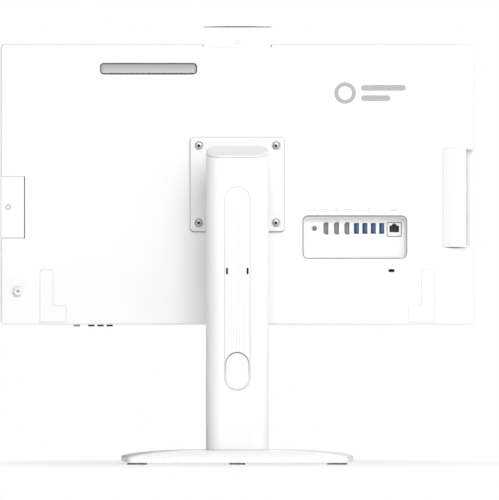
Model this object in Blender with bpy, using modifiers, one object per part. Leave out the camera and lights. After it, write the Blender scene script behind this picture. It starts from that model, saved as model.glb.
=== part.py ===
"""All-in-one desktop PC on a height-adjustable stand, in metres, +Z up.

The screen faces -Y and the back faces +Y. The origin is on the desk under the middle of the bounding box. The display
hangs on a tilt hinge, the hinge rides a carriage inside the oval column, and the column swivels on the base.
"""

import math

import bmesh
import bpy
from mathutils import Matrix, Vector

# ---------------------------------------------------------------- driving dimensions
GAP = 0.0003  # clearance between pieces that touch
WALL = 0.0025  # moulded wall of the display's shells

BODY_WIDTH, BODY_HEIGHT = 0.614, 0.364  # outline of the display
BODY_BOTTOM = 0.180  # underside of the display above the desk
BODY_FRONT, BODY_BACK = -0.054, -0.012  # screen face and flat back
SPLIT_Y = -0.040  # seam between front bezel and rear cover
CORNER = 0.005  # corner radius of the display outline
EDGE_ROUND = 0.003  # rounded edge round the back

VESA = 0.100  # hole spacing of the display mount
PLATE_SIZE, PLATE_THICK = 0.122, 0.005

COLUMN_Y = 0.066  # axis of the column and of the swivel
COLUMN_WIDTH, COLUMN_DEPTH, COLUMN_WALL = 0.081, 0.038, 0.003
COLUMN_TOP_REAR, COLUMN_TOP_FRONT = 0.3988, 0.4127  # the top is cut on a slant
CAP_THICK = 0.004

BASE_DEPTH, BASE_HALF_REAR, BASE_HALF_FRONT = 0.220, 0.143, 0.151
FOOT_HEIGHT = 0.0022
BASE_BOTTOM, BASE_EDGE_TOP, BASE_TOP = 0.0025, 0.0095, 0.0186

TILT_Y = 0.020  # tilt hinge axis
TILT_Z = BODY_BOTTOM + BODY_HEIGHT / 2
LIFT_TRAVEL = 0.110

HALF_W = BODY_WIDTH / 2
BODY_TOP = BODY_BOTTOM + BODY_HEIGHT
INNER_BACK = BODY_BACK - WALL  # inside face of the rear cover
BOARD_BACK = -0.0359  # component side of the mainboard
COLUMN_FRONT = COLUMN_Y - COLUMN_DEPTH / 2
COLUMN_REAR = COLUMN_Y + COLUMN_DEPTH / 2

WHITE = ("white_shell", (0.90, 0.90, 0.90), 0.45, 0.0)
WHITE_METAL = ("white_metal", (0.90, 0.90, 0.90), 0.38, 0.1)
GREY_PLASTIC = ("grey_plastic", (0.55, 0.55, 0.56), 0.5, 0.0)
BLACK_PLASTIC = ("black_plastic", (0.03, 0.03, 0.03), 0.5, 0.0)
SCREEN = ("screen", (0.01, 0.01, 0.012), 0.12, 0.0)
STEEL = ("steel", (0.62, 0.62, 0.63), 0.32, 1.0)
ALUMINIUM = ("aluminium", (0.75, 0.75, 0.76), 0.35, 1.0)
RUBBER = ("rubber", (0.08, 0.08, 0.08), 0.8, 0.0)
CIRCUIT = ("circuit_board", (0.03, 0.16, 0.08), 0.5, 0.0)
PORT_METAL = ("port_metal", (0.42, 0.42, 0.43), 0.4, 1.0)
PORT_BLUE = ("port_blue", (0.06, 0.20, 0.48), 0.45, 0.0)


# ---------------------------------------------------------------- modelling helpers
def start_scene():
    """Empties the scene and makes the collections for the parts and for their cutters."""
    for old in list(bpy.data.objects):
        bpy.data.objects.remove(old)
    made = []
    for name in ("all_in_one_pc", "cutters"):
        collection = bpy.data.collections.new(name)
        bpy.context.scene.collection.children.link(collection)
        made.append(collection)
    made[1].hide_render = True
    return made


PARTS, CUTTERS = start_scene()


def paint(obj, finish):
    """Gives an object its Principled material."""
    name, colour, roughness, metallic = finish
    made = bpy.data.materials.get(name)
    if made is None:
        made = bpy.data.materials.new(name)
        made.use_nodes = True
        shader = made.node_tree.nodes["Principled BSDF"]
        shader.inputs["Base Color"].default_value = (*colour, 1.0)
        shader.inputs["Roughness"].default_value = roughness
        shader.inputs["Metallic"].default_value = metallic
    obj.data.materials.append(made)


def finish_mesh(name, bm, finish):
    """Turns a bmesh into a named part. Without a finish it is a cutter, to be cut or joined with."""
    bmesh.ops.remove_doubles(bm, verts=bm.verts, dist=1e-6)
    bmesh.ops.recalc_face_normals(bm, faces=bm.faces)
    mesh = bpy.data.meshes.new(name)
    bm.to_mesh(mesh)
    bm.free()
    obj = bpy.data.objects.new(name, mesh)
    if finish is None:
        CUTTERS.objects.link(obj)
        obj.hide_render = True
        obj.display_type = "WIRE"
    else:
        PARTS.objects.link(obj)
        paint(obj, finish)
    return obj


def smooth(obj, degrees=35):
    obj.data.shade_smooth()
    obj.data.set_sharp_from_angle(angle=math.radians(degrees))
    return obj


def box(name, low, high, finish=None, round_edges=0.0):
    """A block between two corners, its edges rounded if asked."""
    low, high = Vector(low), Vector(high)
    bm = bmesh.new()
    bmesh.ops.create_cube(bm, size=1.0)
    size = high - low
    bmesh.ops.scale(bm, vec=size, verts=bm.verts)
    bmesh.ops.translate(bm, vec=(low + high) / 2, verts=bm.verts)
    obj = finish_mesh(name, bm, finish)
    if round_edges:
        bevel = obj.modifiers.new("rounded edges", "BEVEL")
        bevel.width = round_edges
        bevel.segments = 2
    return obj


def cylinder(name, centre, radius, length, axis, finish=None, sides=32):
    """A round bar centred on a point, along X, Y or Z."""
    bm = bmesh.new()
    bmesh.ops.create_cone(
        bm, cap_ends=True, segments=sides, radius1=radius, radius2=radius, depth=length
    )
    turn = {"X": Matrix.Rotation(math.pi / 2, 4, "Y"), "Y": Matrix.Rotation(math.pi / 2, 4, "X"), "Z": Matrix()}
    bmesh.ops.transform(bm, matrix=Matrix.Translation(centre) @ turn[axis], verts=bm.verts)
    return finish_mesh(name, bm, finish)


def arc(centre, radius, start, end, points):
    """Points along an arc, angles in degrees."""
    steps = [start + (end - start) * k / (points - 1) for k in range(points)]
    return [
        (centre[0] + radius * math.cos(math.radians(a)), centre[1] + radius * math.sin(math.radians(a)))
        for a in steps
    ]


def rounded_rectangle(width, height, radius, centre=(0.0, 0.0), corner_points=5):
    """The outline of a rectangle with round corners, anticlockwise."""
    x, y = width / 2 - radius, height / 2 - radius
    corners = [(x, y, 0), (-x, y, 90), (-x, -y, 180), (x, -y, 270)]
    return [
        point
        for cx, cy, angle in corners
        for point in arc((centre[0] + cx, centre[1] + cy), radius, angle, angle + 90, corner_points)
    ]


def rectangle(low, high):
    return [(low[0], low[1]), (high[0], low[1]), (high[0], high[1]), (low[0], high[1])]


def circle(centre, radius, points=24):
    return arc(centre, radius, 0, 360, points + 1)[:-1]


AXES = {  # how a flat outline lies in space when it is extruded along an axis
    "X": Matrix(((0, 0, 1), (1, 0, 0), (0, 1, 0))).to_4x4(),
    "Y": Matrix(((1, 0, 0), (0, 0, -1), (0, 1, 0))).to_4x4(),
    "Z": Matrix.Identity(4),
}


def prism(name, loops, axis, start, end, finish=None):
    """A flat outline with holes, extruded along an axis. Outlines are (y, z), (x, z) or (x, y) for X, Y or Z."""
    curve = bpy.data.curves.new(name, "CURVE")
    curve.dimensions = "2D"
    curve.fill_mode = "BOTH"
    curve.extrude = abs(end - start) / 2
    for loop in loops:
        spline = curve.splines.new("POLY")
        spline.points.add(len(loop) - 1)
        for point, (x, y) in zip(spline.points, loop):
            point.co = (x, y, 0.0, 1.0)
        spline.use_cyclic_u = True
    holder = bpy.data.objects.new(name, curve)
    PARTS.objects.link(holder)
    offset = Vector((0.0, 0.0, 0.0))
    offset["XYZ".index(axis)] = (start + end) / 2
    bpy.context.view_layer.update()
    mesh = bpy.data.meshes.new_from_object(holder.evaluated_get(bpy.context.evaluated_depsgraph_get()))
    bpy.data.objects.remove(holder)
    bpy.data.curves.remove(curve)
    bm = bmesh.new()
    bm.from_mesh(mesh)
    bpy.data.meshes.remove(mesh)
    bmesh.ops.remove_doubles(bm, verts=bm.verts, dist=1e-6)
    bmesh.ops.dissolve_limit(bm, angle_limit=math.radians(0.1), verts=bm.verts, edges=bm.edges)
    bmesh.ops.transform(bm, matrix=Matrix.Translation(offset) @ AXES[axis], verts=bm.verts)
    return finish_mesh(name, bm, finish)


def loft(name, rings, finish=None):
    """A closed skin through rings with equally many points, capped at both ends."""
    bm = bmesh.new()
    rows = [[bm.verts.new(point) for point in ring] for ring in rings]
    count = len(rings[0])
    for lower, upper in zip(rows, rows[1:]):
        for k in range(count):
            after = (k + 1) % count
            bm.faces.new((lower[k], lower[after], upper[after], upper[k]))
    bm.faces.new(rows[0][::-1])
    bm.faces.new(rows[-1])
    return finish_mesh(name, bm, finish)


def turned(name, profile, place, axis, finish=None, steps=32):
    """A turned piece: (radius, height) points from the top of the axis down the outer side to its foot."""
    bm = bmesh.new()
    verts = [bm.verts.new((radius, 0.0, height)) for radius, height in profile]
    for first, second in zip(verts, verts[1:]):
        bm.edges.new((first, second))
    mesh = bpy.data.meshes.new(name)
    bm.to_mesh(mesh)
    bm.free()
    obj = bpy.data.objects.new(name, mesh)
    PARTS.objects.link(obj)
    screw = obj.modifiers.new("turned", "SCREW")
    screw.steps = screw.render_steps = steps
    screw.use_merge_vertices = True
    screw.merge_threshold = 1e-5
    turn = {"X": (0, math.pi / 2, 0), "Y": (-math.pi / 2, 0, 0), "Z": (0, 0, 0)}
    obj.location = place
    obj.rotation_euler = turn[axis]
    paint(obj, finish)
    return obj


def boolean(target, tools, operation):
    for tool in tools:
        modifier = target.modifiers.new(tool.name, "BOOLEAN")
        modifier.operation = operation
        modifier.object = tool
    return target


def cut(target, *tools):
    return boolean(target, tools, "DIFFERENCE")


def join(target, *tools):
    return boolean(target, tools, "UNION")


def round_rim(obj, width, segments, on_rim):
    """Rounds only the edges that on_rim picks by their two end points."""
    weights = obj.data.attributes.new("bevel_weight_edge", "FLOAT", "EDGE")
    for edge in obj.data.edges:
        a, b = (obj.data.vertices[v].co for v in edge.vertices)
        weights.data[edge.index].value = 1.0 if on_rim(a, b) else 0.0
    bevel = obj.modifiers.new("rounded rim", "BEVEL")
    bevel.limit_method = "WEIGHT"
    bevel.width = width
    bevel.segments = segments
    return obj


# ---------------------------------------------------------------- base
def base_half_width(y):
    """The base widens towards the front."""
    share = (BASE_DEPTH / 2 - y) / BASE_DEPTH
    return BASE_HALF_REAR + (BASE_HALF_FRONT - BASE_HALF_REAR) * share


def base_outline(inset):
    """The base's plan view, drawn in by inset, with tight rear corners and wide front ones."""
    rear, front = BASE_DEPTH / 2 - inset, -BASE_DEPTH / 2 + inset
    rear_r, front_r = max(0.009 - inset, 0.002), max(0.030 - inset, 0.004)
    wide_rear = base_half_width(rear) - inset
    wide_front = base_half_width(front) - inset
    right = arc((wide_rear - rear_r, rear - rear_r), rear_r, 90, 0, 5)
    right += arc((wide_front - front_r, front + front_r), front_r, 0, -90, 8)
    left = [(-x, y) for x, y in reversed(right)]
    return right + left


def make_base():
    """Cast base plate: a low edge that swells up to a flat seat for the column."""
    rings = [[(x, y, BASE_BOTTOM) for x, y in base_outline(0.001)]]
    rings.append([(x, y, BASE_BOTTOM + 0.001) for x, y in base_outline(0.0)])
    rings.append([(x, y, BASE_EDGE_TOP - 0.0015) for x, y in base_outline(0.0)])
    rings.append([(x, y, BASE_EDGE_TOP) for x, y in base_outline(0.0012)])
    swell, seat, seat_y = 7, 0.36, 0.053
    for k in range(1, swell + 1):
        scale = 1 - (1 - seat) * k / swell
        rise = math.sin(math.pi / 2 * k / swell) ** 0.7
        height = BASE_EDGE_TOP + (BASE_TOP - BASE_EDGE_TOP) * rise
        ring = base_outline(0.0012)
        shift = seat_y * (1 - scale) / (1 - seat)
        rings.append([(x * scale, shift + y * scale, height) for x, y in ring])
    base = smooth(loft("base_plate", rings, WHITE_METAL))
    bore = cylinder("swivel_bore", (0, COLUMN_Y, BASE_TOP / 2), 0.0146, 0.04, "Z")
    pocket = cylinder("bolt_pocket", (0, COLUMN_Y, 0.0043), 0.021, 0.0086, "Z")
    cut(base, bore, pocket)

    rear_y, front_y, pad_depth = 0.101, -0.099, 0.010
    pads = {
        "foot_pad_rear_left": (0.129, rear_y, 0.026),
        "foot_pad_rear_centre": (0.0, rear_y, 0.0206),
        "foot_pad_rear_right": (-0.129, rear_y, 0.026),
        "foot_pad_front_left": (0.105, front_y, 0.026),
        "foot_pad_front_right": (-0.105, front_y, 0.026),
    }
    for name, (x, y, length) in pads.items():
        prism(name, [rounded_rectangle(length, pad_depth, 0.003, (x, y), 4)], "Z", 0.0, FOOT_HEIGHT, RUBBER)


# ---------------------------------------------------------------- column
def stadium(width, depth, centre, corner_points=12):
    return rounded_rectangle(width, depth, depth / 2 - 1e-5, centre, corner_points)


def slant(y):
    """Height of the column's slanted top at a depth."""
    share = (COLUMN_REAR - y) / COLUMN_DEPTH
    return COLUMN_TOP_REAR + (COLUMN_TOP_FRONT - COLUMN_TOP_REAR) * share


CABLE_HOLE = (0.0314, 0.0490, 0.1208)  # width, height, height of its middle
GROOVE_WIDTH, GROOVE_TOP = 0.0335, 0.359
GROOVE_BOTTOM = CABLE_HOLE[2] - CABLE_HOLE[1] / 2 - (GROOVE_WIDTH - CABLE_HOLE[0]) / 2
SLIT_X, SLIT_Z, SLIT_SIZE = 0.0133, 0.2497, (0.0026, 0.0084)


def upright_stadium(width, bottom, top, points=12):
    return rounded_rectangle(width, top - bottom, width / 2 - 1e-5, (0, (top + bottom) / 2), points)


def make_column():
    """Oval tube with a slanted cap, a ribbed inlay down its back and a cable hole near its foot."""
    seat = BASE_TOP + GAP
    centre = (0, COLUMN_Y)
    outline = stadium(COLUMN_WIDTH, COLUMN_DEPTH, centre)
    below_cap = CAP_THICK + GAP
    shell = loft(
        "column_shell",
        [[(x, y, seat) for x, y in outline], [(x, y, slant(y) - below_cap) for x, y in outline]],
        WHITE,
    )
    smooth(shell)
    bore = prism(
        "column_bore",
        [stadium(COLUMN_WIDTH - 2 * COLUMN_WALL, COLUMN_DEPTH - 2 * COLUMN_WALL, centre)],
        "Z", 0.0, 0.45,
    )
    slot_bottom, slot_top, slot_half = TILT_Z - LIFT_TRAVEL - 0.0115, 0.381, 0.0195
    lift_slot = box("lift_slot", (-slot_half, 0.0, slot_bottom), (slot_half, COLUMN_Y, slot_top))
    hole_low, hole_high = CABLE_HOLE[2] - CABLE_HOLE[1] / 2, CABLE_HOLE[2] + CABLE_HOLE[1] / 2
    hole = prism("cable_hole", [upright_stadium(CABLE_HOLE[0], hole_low, hole_high)], "Y", 0.0, 0.12)
    groove_floor = COLUMN_REAR - 0.0017
    groove = prism(
        "inlay_groove", [upright_stadium(GROOVE_WIDTH, GROOVE_BOTTOM, GROOVE_TOP)], "Y", groove_floor, 0.12
    )
    slits = [
        rounded_rectangle(*SLIT_SIZE, 0.0006, (side * SLIT_X, SLIT_Z), 2) for side in (-1, 1)
    ]
    slit_cutter = prism("slits", slits, "Y", COLUMN_Y, 0.12)
    cut(shell, bore, lift_slot, groove, hole, slit_cutter)

    inlay = prism(
        "column_inlay",
        [
            upright_stadium(GROOVE_WIDTH - 2 * GAP, GROOVE_BOTTOM + GAP, GROOVE_TOP - GAP),
            upright_stadium(CABLE_HOLE[0], hole_low, hole_high),
            *slits,
        ],
        "Y", groove_floor + GAP, COLUMN_REAR - 0.0004, WHITE,
    )
    smooth(inlay)
    grommet_width, grommet_wall = CABLE_HOLE[0] - 2 * GAP, 0.0012
    prism(
        "cable_grommet",
        [
            upright_stadium(grommet_width, hole_low + GAP, hole_high - GAP),
            upright_stadium(
                grommet_width - 2 * grommet_wall, hole_low + GAP + grommet_wall, hole_high - GAP - grommet_wall
            ),
        ],
        "Y", COLUMN_FRONT, COLUMN_REAR - 0.0002, WHITE,
    )
    cap = loft(
        "column_cap",
        [[(x, y, slant(y) - CAP_THICK) for x, y in outline], [(x, y, slant(y)) for x, y in outline]],
        WHITE,
    )
    smooth(cap)
    round_rim(cap, 0.0012, 2, lambda a, b: min(a.z - slant(a.y), b.z - slant(b.y)) > -1e-5)

    inside = COLUMN_WALL + GAP
    foot_low, foot_high, spigot = seat + GAP, 0.060, 0.0142
    foot = prism(
        "column_foot",
        [stadium(COLUMN_WIDTH - 2 * inside, COLUMN_DEPTH - 2 * inside, centre, 8)],
        "Z", foot_low, foot_high, ALUMINIUM,
    )
    spigot_low = 0.0086
    spigot_tool = cylinder(
        "spigot", (0, COLUMN_Y, (spigot_low + foot_high) / 2), spigot, foot_high - spigot_low - 0.002, "Z"
    )
    bolt_bore = cylinder("bolt_bore", (0, COLUMN_Y, 0.02), 0.0063, 0.05, "Z")
    cut(join(foot, spigot_tool), bolt_bore)
    turned(
        "swivel_bolt",
        [(0.0, 0.040), (0.0054, 0.040), (0.006, 0.0394), (0.006, 0.0082), (0.020, 0.0082), (0.020, 0.0045),
         (0.019, 0.0040), (0.0, 0.0040)],
        (0, COLUMN_Y, 0), "Z", STEEL,
    )
    rail_in, rail_out, rail_top = 0.0257, 0.0315, 0.392
    for name, side in (("rail_left", 1), ("rail_right", -1)):
        xs = sorted((side * rail_in, side * rail_out))
        box(name, (xs[0], COLUMN_Y - 0.008, foot_high + GAP), (xs[1], COLUMN_Y + 0.008, rail_top), STEEL)


# ---------------------------------------------------------------- carriage and tilt hinge
BARREL_R, BARREL_HALF, EAR_OUT, PIN_R = 0.009, 0.011, 0.0175, 0.004
DRUM_Z, DRUM_R = 0.305, 0.010


def make_carriage():
    """Sliding block with two ears for the tilt pin and two lugs for the lift spring's drum."""
    carriage = box("carriage", (-0.0252, COLUMN_Y - 0.013, 0.322), (0.0252, COLUMN_Y + 0.013, 0.384), ALUMINIUM)
    for k, side in enumerate((-1, 1)):
        xs = sorted((side * (BARREL_HALF + 0.0004), side * EAR_OUT))
        ear_profile = arc((TILT_Y, TILT_Z), BARREL_R, 90, 270, 14)
        ear_profile += [(COLUMN_Y - 0.009, TILT_Z - BARREL_R), (COLUMN_Y - 0.009, TILT_Z + BARREL_R)]
        ear = prism(f"ear_{k}", [ear_profile], "X", xs[0], xs[1])
        lug_xs = sorted((side * 0.0109, side * 0.0150))
        lug_profile = arc((COLUMN_Y, DRUM_Z), 0.006, 180, 360, 9)
        lug_profile += [(COLUMN_Y + 0.006, 0.325), (COLUMN_Y - 0.006, 0.325)]
        lug = prism(f"lug_{k}", [lug_profile], "X", lug_xs[0], lug_xs[1])
        join(carriage, ear, lug)
    pin_bore = cylinder("tilt_pin_bore", (0, TILT_Y, TILT_Z), PIN_R + GAP, 0.06, "X", sides=24)
    drum_bore = cylinder("drum_bore", (0, COLUMN_Y, DRUM_Z), 0.0033, 0.06, "X", sides=20)
    cut(carriage, pin_bore, drum_bore)
    cylinder("tilt_pin", (0, TILT_Y, TILT_Z), PIN_R, 0.0376, "X", STEEL, sides=24)
    half, stub, flange = 0.0105, 0.0145, 0.0112
    turned(
        "lift_spring",
        [
            (0.0, stub), (0.003, stub), (0.003, half), (flange, half),
            (flange, half - 0.001), (DRUM_R, half - 0.001), (DRUM_R, 0.001 - half), (flange, 0.001 - half),
            (flange, -half), (0.003, -half), (0.003, -stub), (0.0, -stub),
        ],
        (0, COLUMN_Y, DRUM_Z), "X", STEEL, steps=24,
    )


def make_mount_plate():
    """Square plate on the display's back with four counterbored screws, and the hinge bracket on it."""
    plate_front = BODY_BACK + GAP
    plate_back = plate_front + PLATE_THICK
    places = [(sx * VESA / 2, TILT_Z + sz * VESA / 2) for sx in (1, -1) for sz in (1, -1)]
    outline = rounded_rectangle(PLATE_SIZE, PLATE_SIZE, 0.005, (0, TILT_Z))
    plate = prism("vesa_plate", [outline], "Y", plate_front, plate_back, WHITE_METAL)
    round_rim(plate, 0.0012, 2, lambda a, b: min(a.y, b.y) > plate_back - 1e-5)
    smooth(plate)
    holes = prism("screw_holes", [circle(place, 0.0024, 16) for place in places], "Y", -0.02, 0.01)
    seats = prism("screw_seats", [circle(place, 0.006, 24) for place in places], "Y", plate_back - 0.003, 0.01)
    cut(plate, holes, seats)
    head_top, head_foot, tip = plate_back - 0.0006, plate_back - 0.0027, -0.031
    for k, (x, z) in enumerate(places, 1):
        screw = turned(
            f"vesa_screw_{k}",
            [(0.0, head_top), (0.0036, head_top), (0.0045, head_top - 0.0009), (0.0045, head_foot),
             (0.0019, head_foot), (0.0019, tip + 0.001), (0.0009, tip), (0.0, tip)],
            (x, 0, z), "Y", STEEL, steps=20,
        )
        socket = prism(f"screw_socket_{k}", [circle((x, z), 0.0017, 6)], "Y", head_top - 0.0013, 0.0)
        cut(screw, socket)

    flange_front = plate_back + GAP
    bracket = box(
        "tilt_bracket", (-0.028, flange_front, TILT_Z - 0.032), (0.028, flange_front + 0.004, TILT_Z + 0.032), STEEL
    )
    barrel = cylinder("barrel", (0, TILT_Y, TILT_Z), BARREL_R, 2 * BARREL_HALF, "X", sides=28)
    web_half = BARREL_HALF - 0.0005
    web = box("web", (-web_half, flange_front + 0.002, TILT_Z - 0.0085), (web_half, TILT_Y, TILT_Z + 0.0085))
    barrel_bore = cylinder("barrel_bore", (0, TILT_Y, TILT_Z), PIN_R + GAP, 0.06, "X", sides=24)
    cut(join(bracket, barrel, web), barrel_bore)


# ---------------------------------------------------------------- display shells
BAY_X, BAY_Z, BAY_WIDTH, BAY_HEIGHT, BAY_CORNER = -0.1525, 0.2937, 0.136, 0.0564, 0.007
BAY_FLOOR = -0.026
VENT_X, VENT_Z, VENT_WIDTH, VENT_HEIGHT, VENT_CORNER = 0.1152, 0.5121, 0.1266, 0.0154, 0.0052
LOCK_X, LOCK_Z = -0.200, 0.2502
DOOR_LEFT, DOOR_LOW, DOOR_HIGH = 0.2758, 0.2925, 0.3722
HOOD_X, HOOD_LOW, HOOD_HIGH, HOOD_FACE = -0.2668, 0.2808, 0.4090, -0.2967
RECESS_FLOOR = -0.024
CAMERA_HALF, CAMERA_TOP, CAMERA_FOOT = 0.0443, 0.5677, 0.505
CAMERA_FRONT, CAMERA_BACK, CAMERA_NOTCH = -0.031, INNER_BACK - GAP, 0.5398
SCREW_X, SCREW_Z = 0.2844, 0.2235
BUTTON_XS = {"power_button": 0.2082, "menu_button_1": 0.1895, "menu_button_2": 0.1776, "menu_button_3": 0.1657}
BUTTON_Y, BUTTON_SIZE = -0.021, (0.0082, 0.006)


def lower_cover_outline(side, grow):
    """L-shaped cover in a lower corner: a tall strip with a foot towards the middle."""
    inner, strip, outer = 0.2222 - grow, 0.2390 - grow, 0.2559 + grow
    low, step, high = BODY_BOTTOM + 0.0035 - grow, 0.2043 + grow, 0.2510 + grow
    r = 0.003
    points = [(inner, low), (outer, low)]
    points += arc((outer - r, high - r), r, 0, 90, 4) + arc((strip + r, high - r), r, 90, 180, 4)
    points += arc((strip - r, step + r), r, 0, -90, 4) + [(inner, step)]
    return [(side * x, z) for x, z in points]


def make_rear_cover():
    """Flat-backed shell that carries every opening of the back."""
    outline = rounded_rectangle(BODY_WIDTH, BODY_HEIGHT, CORNER, (0, TILT_Z), 5)
    cover = prism("rear_cover", [outline], "Y", SPLIT_Y, BODY_BACK, WHITE)
    round_rim(cover, EDGE_ROUND, 3, lambda a, b: min(a.y, b.y) > BODY_BACK - 1e-5)
    smooth(cover)
    hollow = prism(
        "cover_hollow",
        [rounded_rectangle(BODY_WIDTH - 2 * WALL, BODY_HEIGHT - 2 * WALL, CORNER - 0.002, (0, TILT_Z), 3)],
        "Y", SPLIT_Y - 0.005, INNER_BACK,
    )
    through = prism(
        "back_openings",
        [
            rounded_rectangle(BAY_WIDTH, BAY_HEIGHT, BAY_CORNER, (BAY_X, BAY_Z)),
            rounded_rectangle(VENT_WIDTH, VENT_HEIGHT, VENT_CORNER, (VENT_X, VENT_Z)),
            rounded_rectangle(0.007, 0.003, 0.0014, (LOCK_X, LOCK_Z), 4),
            circle((SCREW_X, SCREW_Z), 0.0024, 16),
            *[circle((sx * VESA / 2, TILT_Z + sz * VESA / 2), 0.0026, 16) for sx in (1, -1) for sz in (1, -1)],
        ],
        "Y", -0.030, 0.0,
    )
    door = box("door_opening", (DOOR_LEFT - 0.0004, -0.0375, DOOR_LOW - 0.0004), (0.32, 0.0, DOOR_HIGH + 0.0004))
    hood = box("hood_opening", (-0.32, RECESS_FLOOR - 0.0025, HOOD_LOW - GAP), (HOOD_X + GAP, 0.0, HOOD_HIGH + GAP))
    slot_half = CAMERA_HALF + 0.0004
    top_slot = box("camera_slot", (-slot_half, CAMERA_FRONT - 0.0026, 0.52), (slot_half, INNER_BACK - 0.0001, 0.56))
    notch = box("camera_notch", (-slot_half, -0.020, CAMERA_NOTCH), (slot_half, 0.0, 0.56))
    cut(cover, hollow, through, door, hood, top_slot, notch)
    for side in (1, -1):
        pocket = prism(f"cover_pocket_{side}", [lower_cover_outline(side, GAP)], "Y", BODY_BACK - 0.0015, 0.0)
        cut(cover, pocket)
        name = "lower_cover_left" if side > 0 else "lower_cover_right"
        prism(name, [lower_cover_outline(side, 0.0)], "Y", BODY_BACK - 0.0012, BODY_BACK, WHITE)
    key_holes = [
        rounded_rectangle(BUTTON_SIZE[0] + 0.0006, BUTTON_SIZE[1] + 0.0006, 0.0015, (x, BUTTON_Y), 3)
        for x in BUTTON_XS.values()
    ]
    cut(cover, prism("key_holes", key_holes, "Z", BODY_BOTTOM - 0.005, BODY_BOTTOM + 0.006))


def make_front():
    """Slim front frame with a deeper chin, the screen behind it and the sheet-metal chassis behind that."""
    outline = rounded_rectangle(BODY_WIDTH, BODY_HEIGHT, CORNER, (0, TILT_Z), 5)
    bezel = prism("front_bezel", [outline], "Y", BODY_FRONT, SPLIT_Y - GAP, WHITE)
    round_rim(bezel, 0.0015, 2, lambda a, b: max(a.y, b.y) < BODY_FRONT + 1e-5)
    smooth(bezel)
    lip_back = BODY_FRONT + 0.002
    cavity = prism(
        "bezel_cavity",
        [rounded_rectangle(BODY_WIDTH - 2 * WALL, BODY_HEIGHT - 2 * WALL, CORNER - 0.002, (0, TILT_Z), 3)],
        "Y", lip_back, SPLIT_Y + 0.005,
    )
    side_border, top_border, chin = 0.008, 0.008, 0.020
    window = box(
        "screen_window",
        (-HALF_W + side_border, BODY_FRONT - 0.005, BODY_BOTTOM + chin),
        (HALF_W - side_border, lip_back + 0.002, BODY_TOP - top_border),
    )
    cut(bezel, cavity, window)
    panel_back = lip_back + 0.008
    box("lcd_panel", (-0.3015, lip_back + GAP, 0.196), (0.3015, panel_back, 0.5395), SCREEN)

    sheet_front, sheet_back = panel_back + GAP, panel_back + 0.0015
    places = [(sx * VESA / 2, TILT_Z + sz * VESA / 2) for sx in (1, -1) for sz in (1, -1)]
    windows = [rectangle((-0.235, 0.470), (-0.080, 0.525)), rectangle((-0.02, 0.195), (0.15, 0.275))]
    chassis = prism(
        "chassis", [rectangle((-0.303, 0.184), (0.303, 0.540)), *windows], "Y", sheet_front, sheet_back, STEEL
    )
    posts = [
        cylinder(f"post_{k}", (x, (sheet_front + 0.0005 + INNER_BACK - GAP) / 2, z), 0.005,
                 INNER_BACK - GAP - sheet_front - 0.0005, "Y", sides=16)
        for k, (x, z) in enumerate(places)
    ]
    threads = prism("post_threads", [circle(place, 0.0022, 12) for place in places], "Y", -0.034, 0.0)
    cut(join(chassis, *posts), threads)


def make_vent_grille():
    """Insert of upright slats that fills the vent slot."""
    slats, slot_width, slot_height = 30, 0.0022, 0.0100
    pitch = (VENT_WIDTH - 0.006) / slats
    slots = []
    for k in range(slats):
        x = VENT_X + (k - (slats - 1) / 2) * pitch
        low, high = (x - slot_width / 2, VENT_Z - slot_height / 2), (x + slot_width / 2, VENT_Z + slot_height / 2)
        slots.append(rectangle(low, high))
    outline = rounded_rectangle(
        VENT_WIDTH - 2 * GAP, VENT_HEIGHT - 2 * GAP, VENT_CORNER - GAP, (VENT_X, VENT_Z)
    )
    prism("vent_grille", [outline, *slots], "Y", BODY_BACK - 0.0032, BODY_BACK - 0.0016, GREY_PLASTIC)


# ---------------------------------------------------------------- rear ports
PORT_Z = 0.3049
PORT_FOOT, PORT_FACE = BOARD_BACK + GAP, BAY_FLOOR + 0.0005
VIDEO_XS = [-0.1150 - 0.0136 * k for k in range(3)]
USB_XS = [-0.1546 - 0.01095 * k for k in range(4)]
LAN_X, LAN_Z, LAN_SIZE = -0.2036, 0.3035, (0.0190, 0.0186)
JACK_X, JACK_R = -0.0999, 0.0034


def video_outline(x, grow):
    """D-shaped shell, 15 mm tall, one long side narrower than the other."""
    w, h, c = 0.0058 / 2 + grow, 0.0152 / 2 + grow, 0.0022
    z = PORT_Z
    return [(x - w, z - h), (x + w - c, z - h), (x + w, z - h + c), (x + w, z + h - c), (x + w - c, z + h), (x - w, z + h)]


def usb_outline(x, grow):
    return rounded_rectangle(0.0060 + 2 * grow, 0.0136 + 2 * grow, 0.0006, (x, PORT_Z), 2)


def lan_outline(grow):
    return rounded_rectangle(LAN_SIZE[0] + 2 * grow, LAN_SIZE[1] + 2 * grow, 0.001, (LAN_X, LAN_Z), 2)


def socket(name, outline, pocket, tongue, finish, axis="Y", foot=PORT_FOOT, face=PORT_FACE):
    """A connector: an outer shell, a pocket open at its face and a contact tongue standing in the pocket."""
    shell = prism(name, [outline], axis, foot, face, finish)
    deep = foot + 0.0012 if face > foot else foot - 0.0012
    beyond = face + 0.002 if face > foot else face - 0.002
    cut(shell, prism(name + "_pocket", [pocket], axis, *sorted((deep, beyond))))
    if tongue:
        back = foot + 0.0006 if face > foot else foot - 0.0006
        tip = face - 0.0015 if face > foot else face + 0.0015
        join(shell, prism(name + "_tongue", [tongue], axis, *sorted((back, tip))))
    return shell


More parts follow.
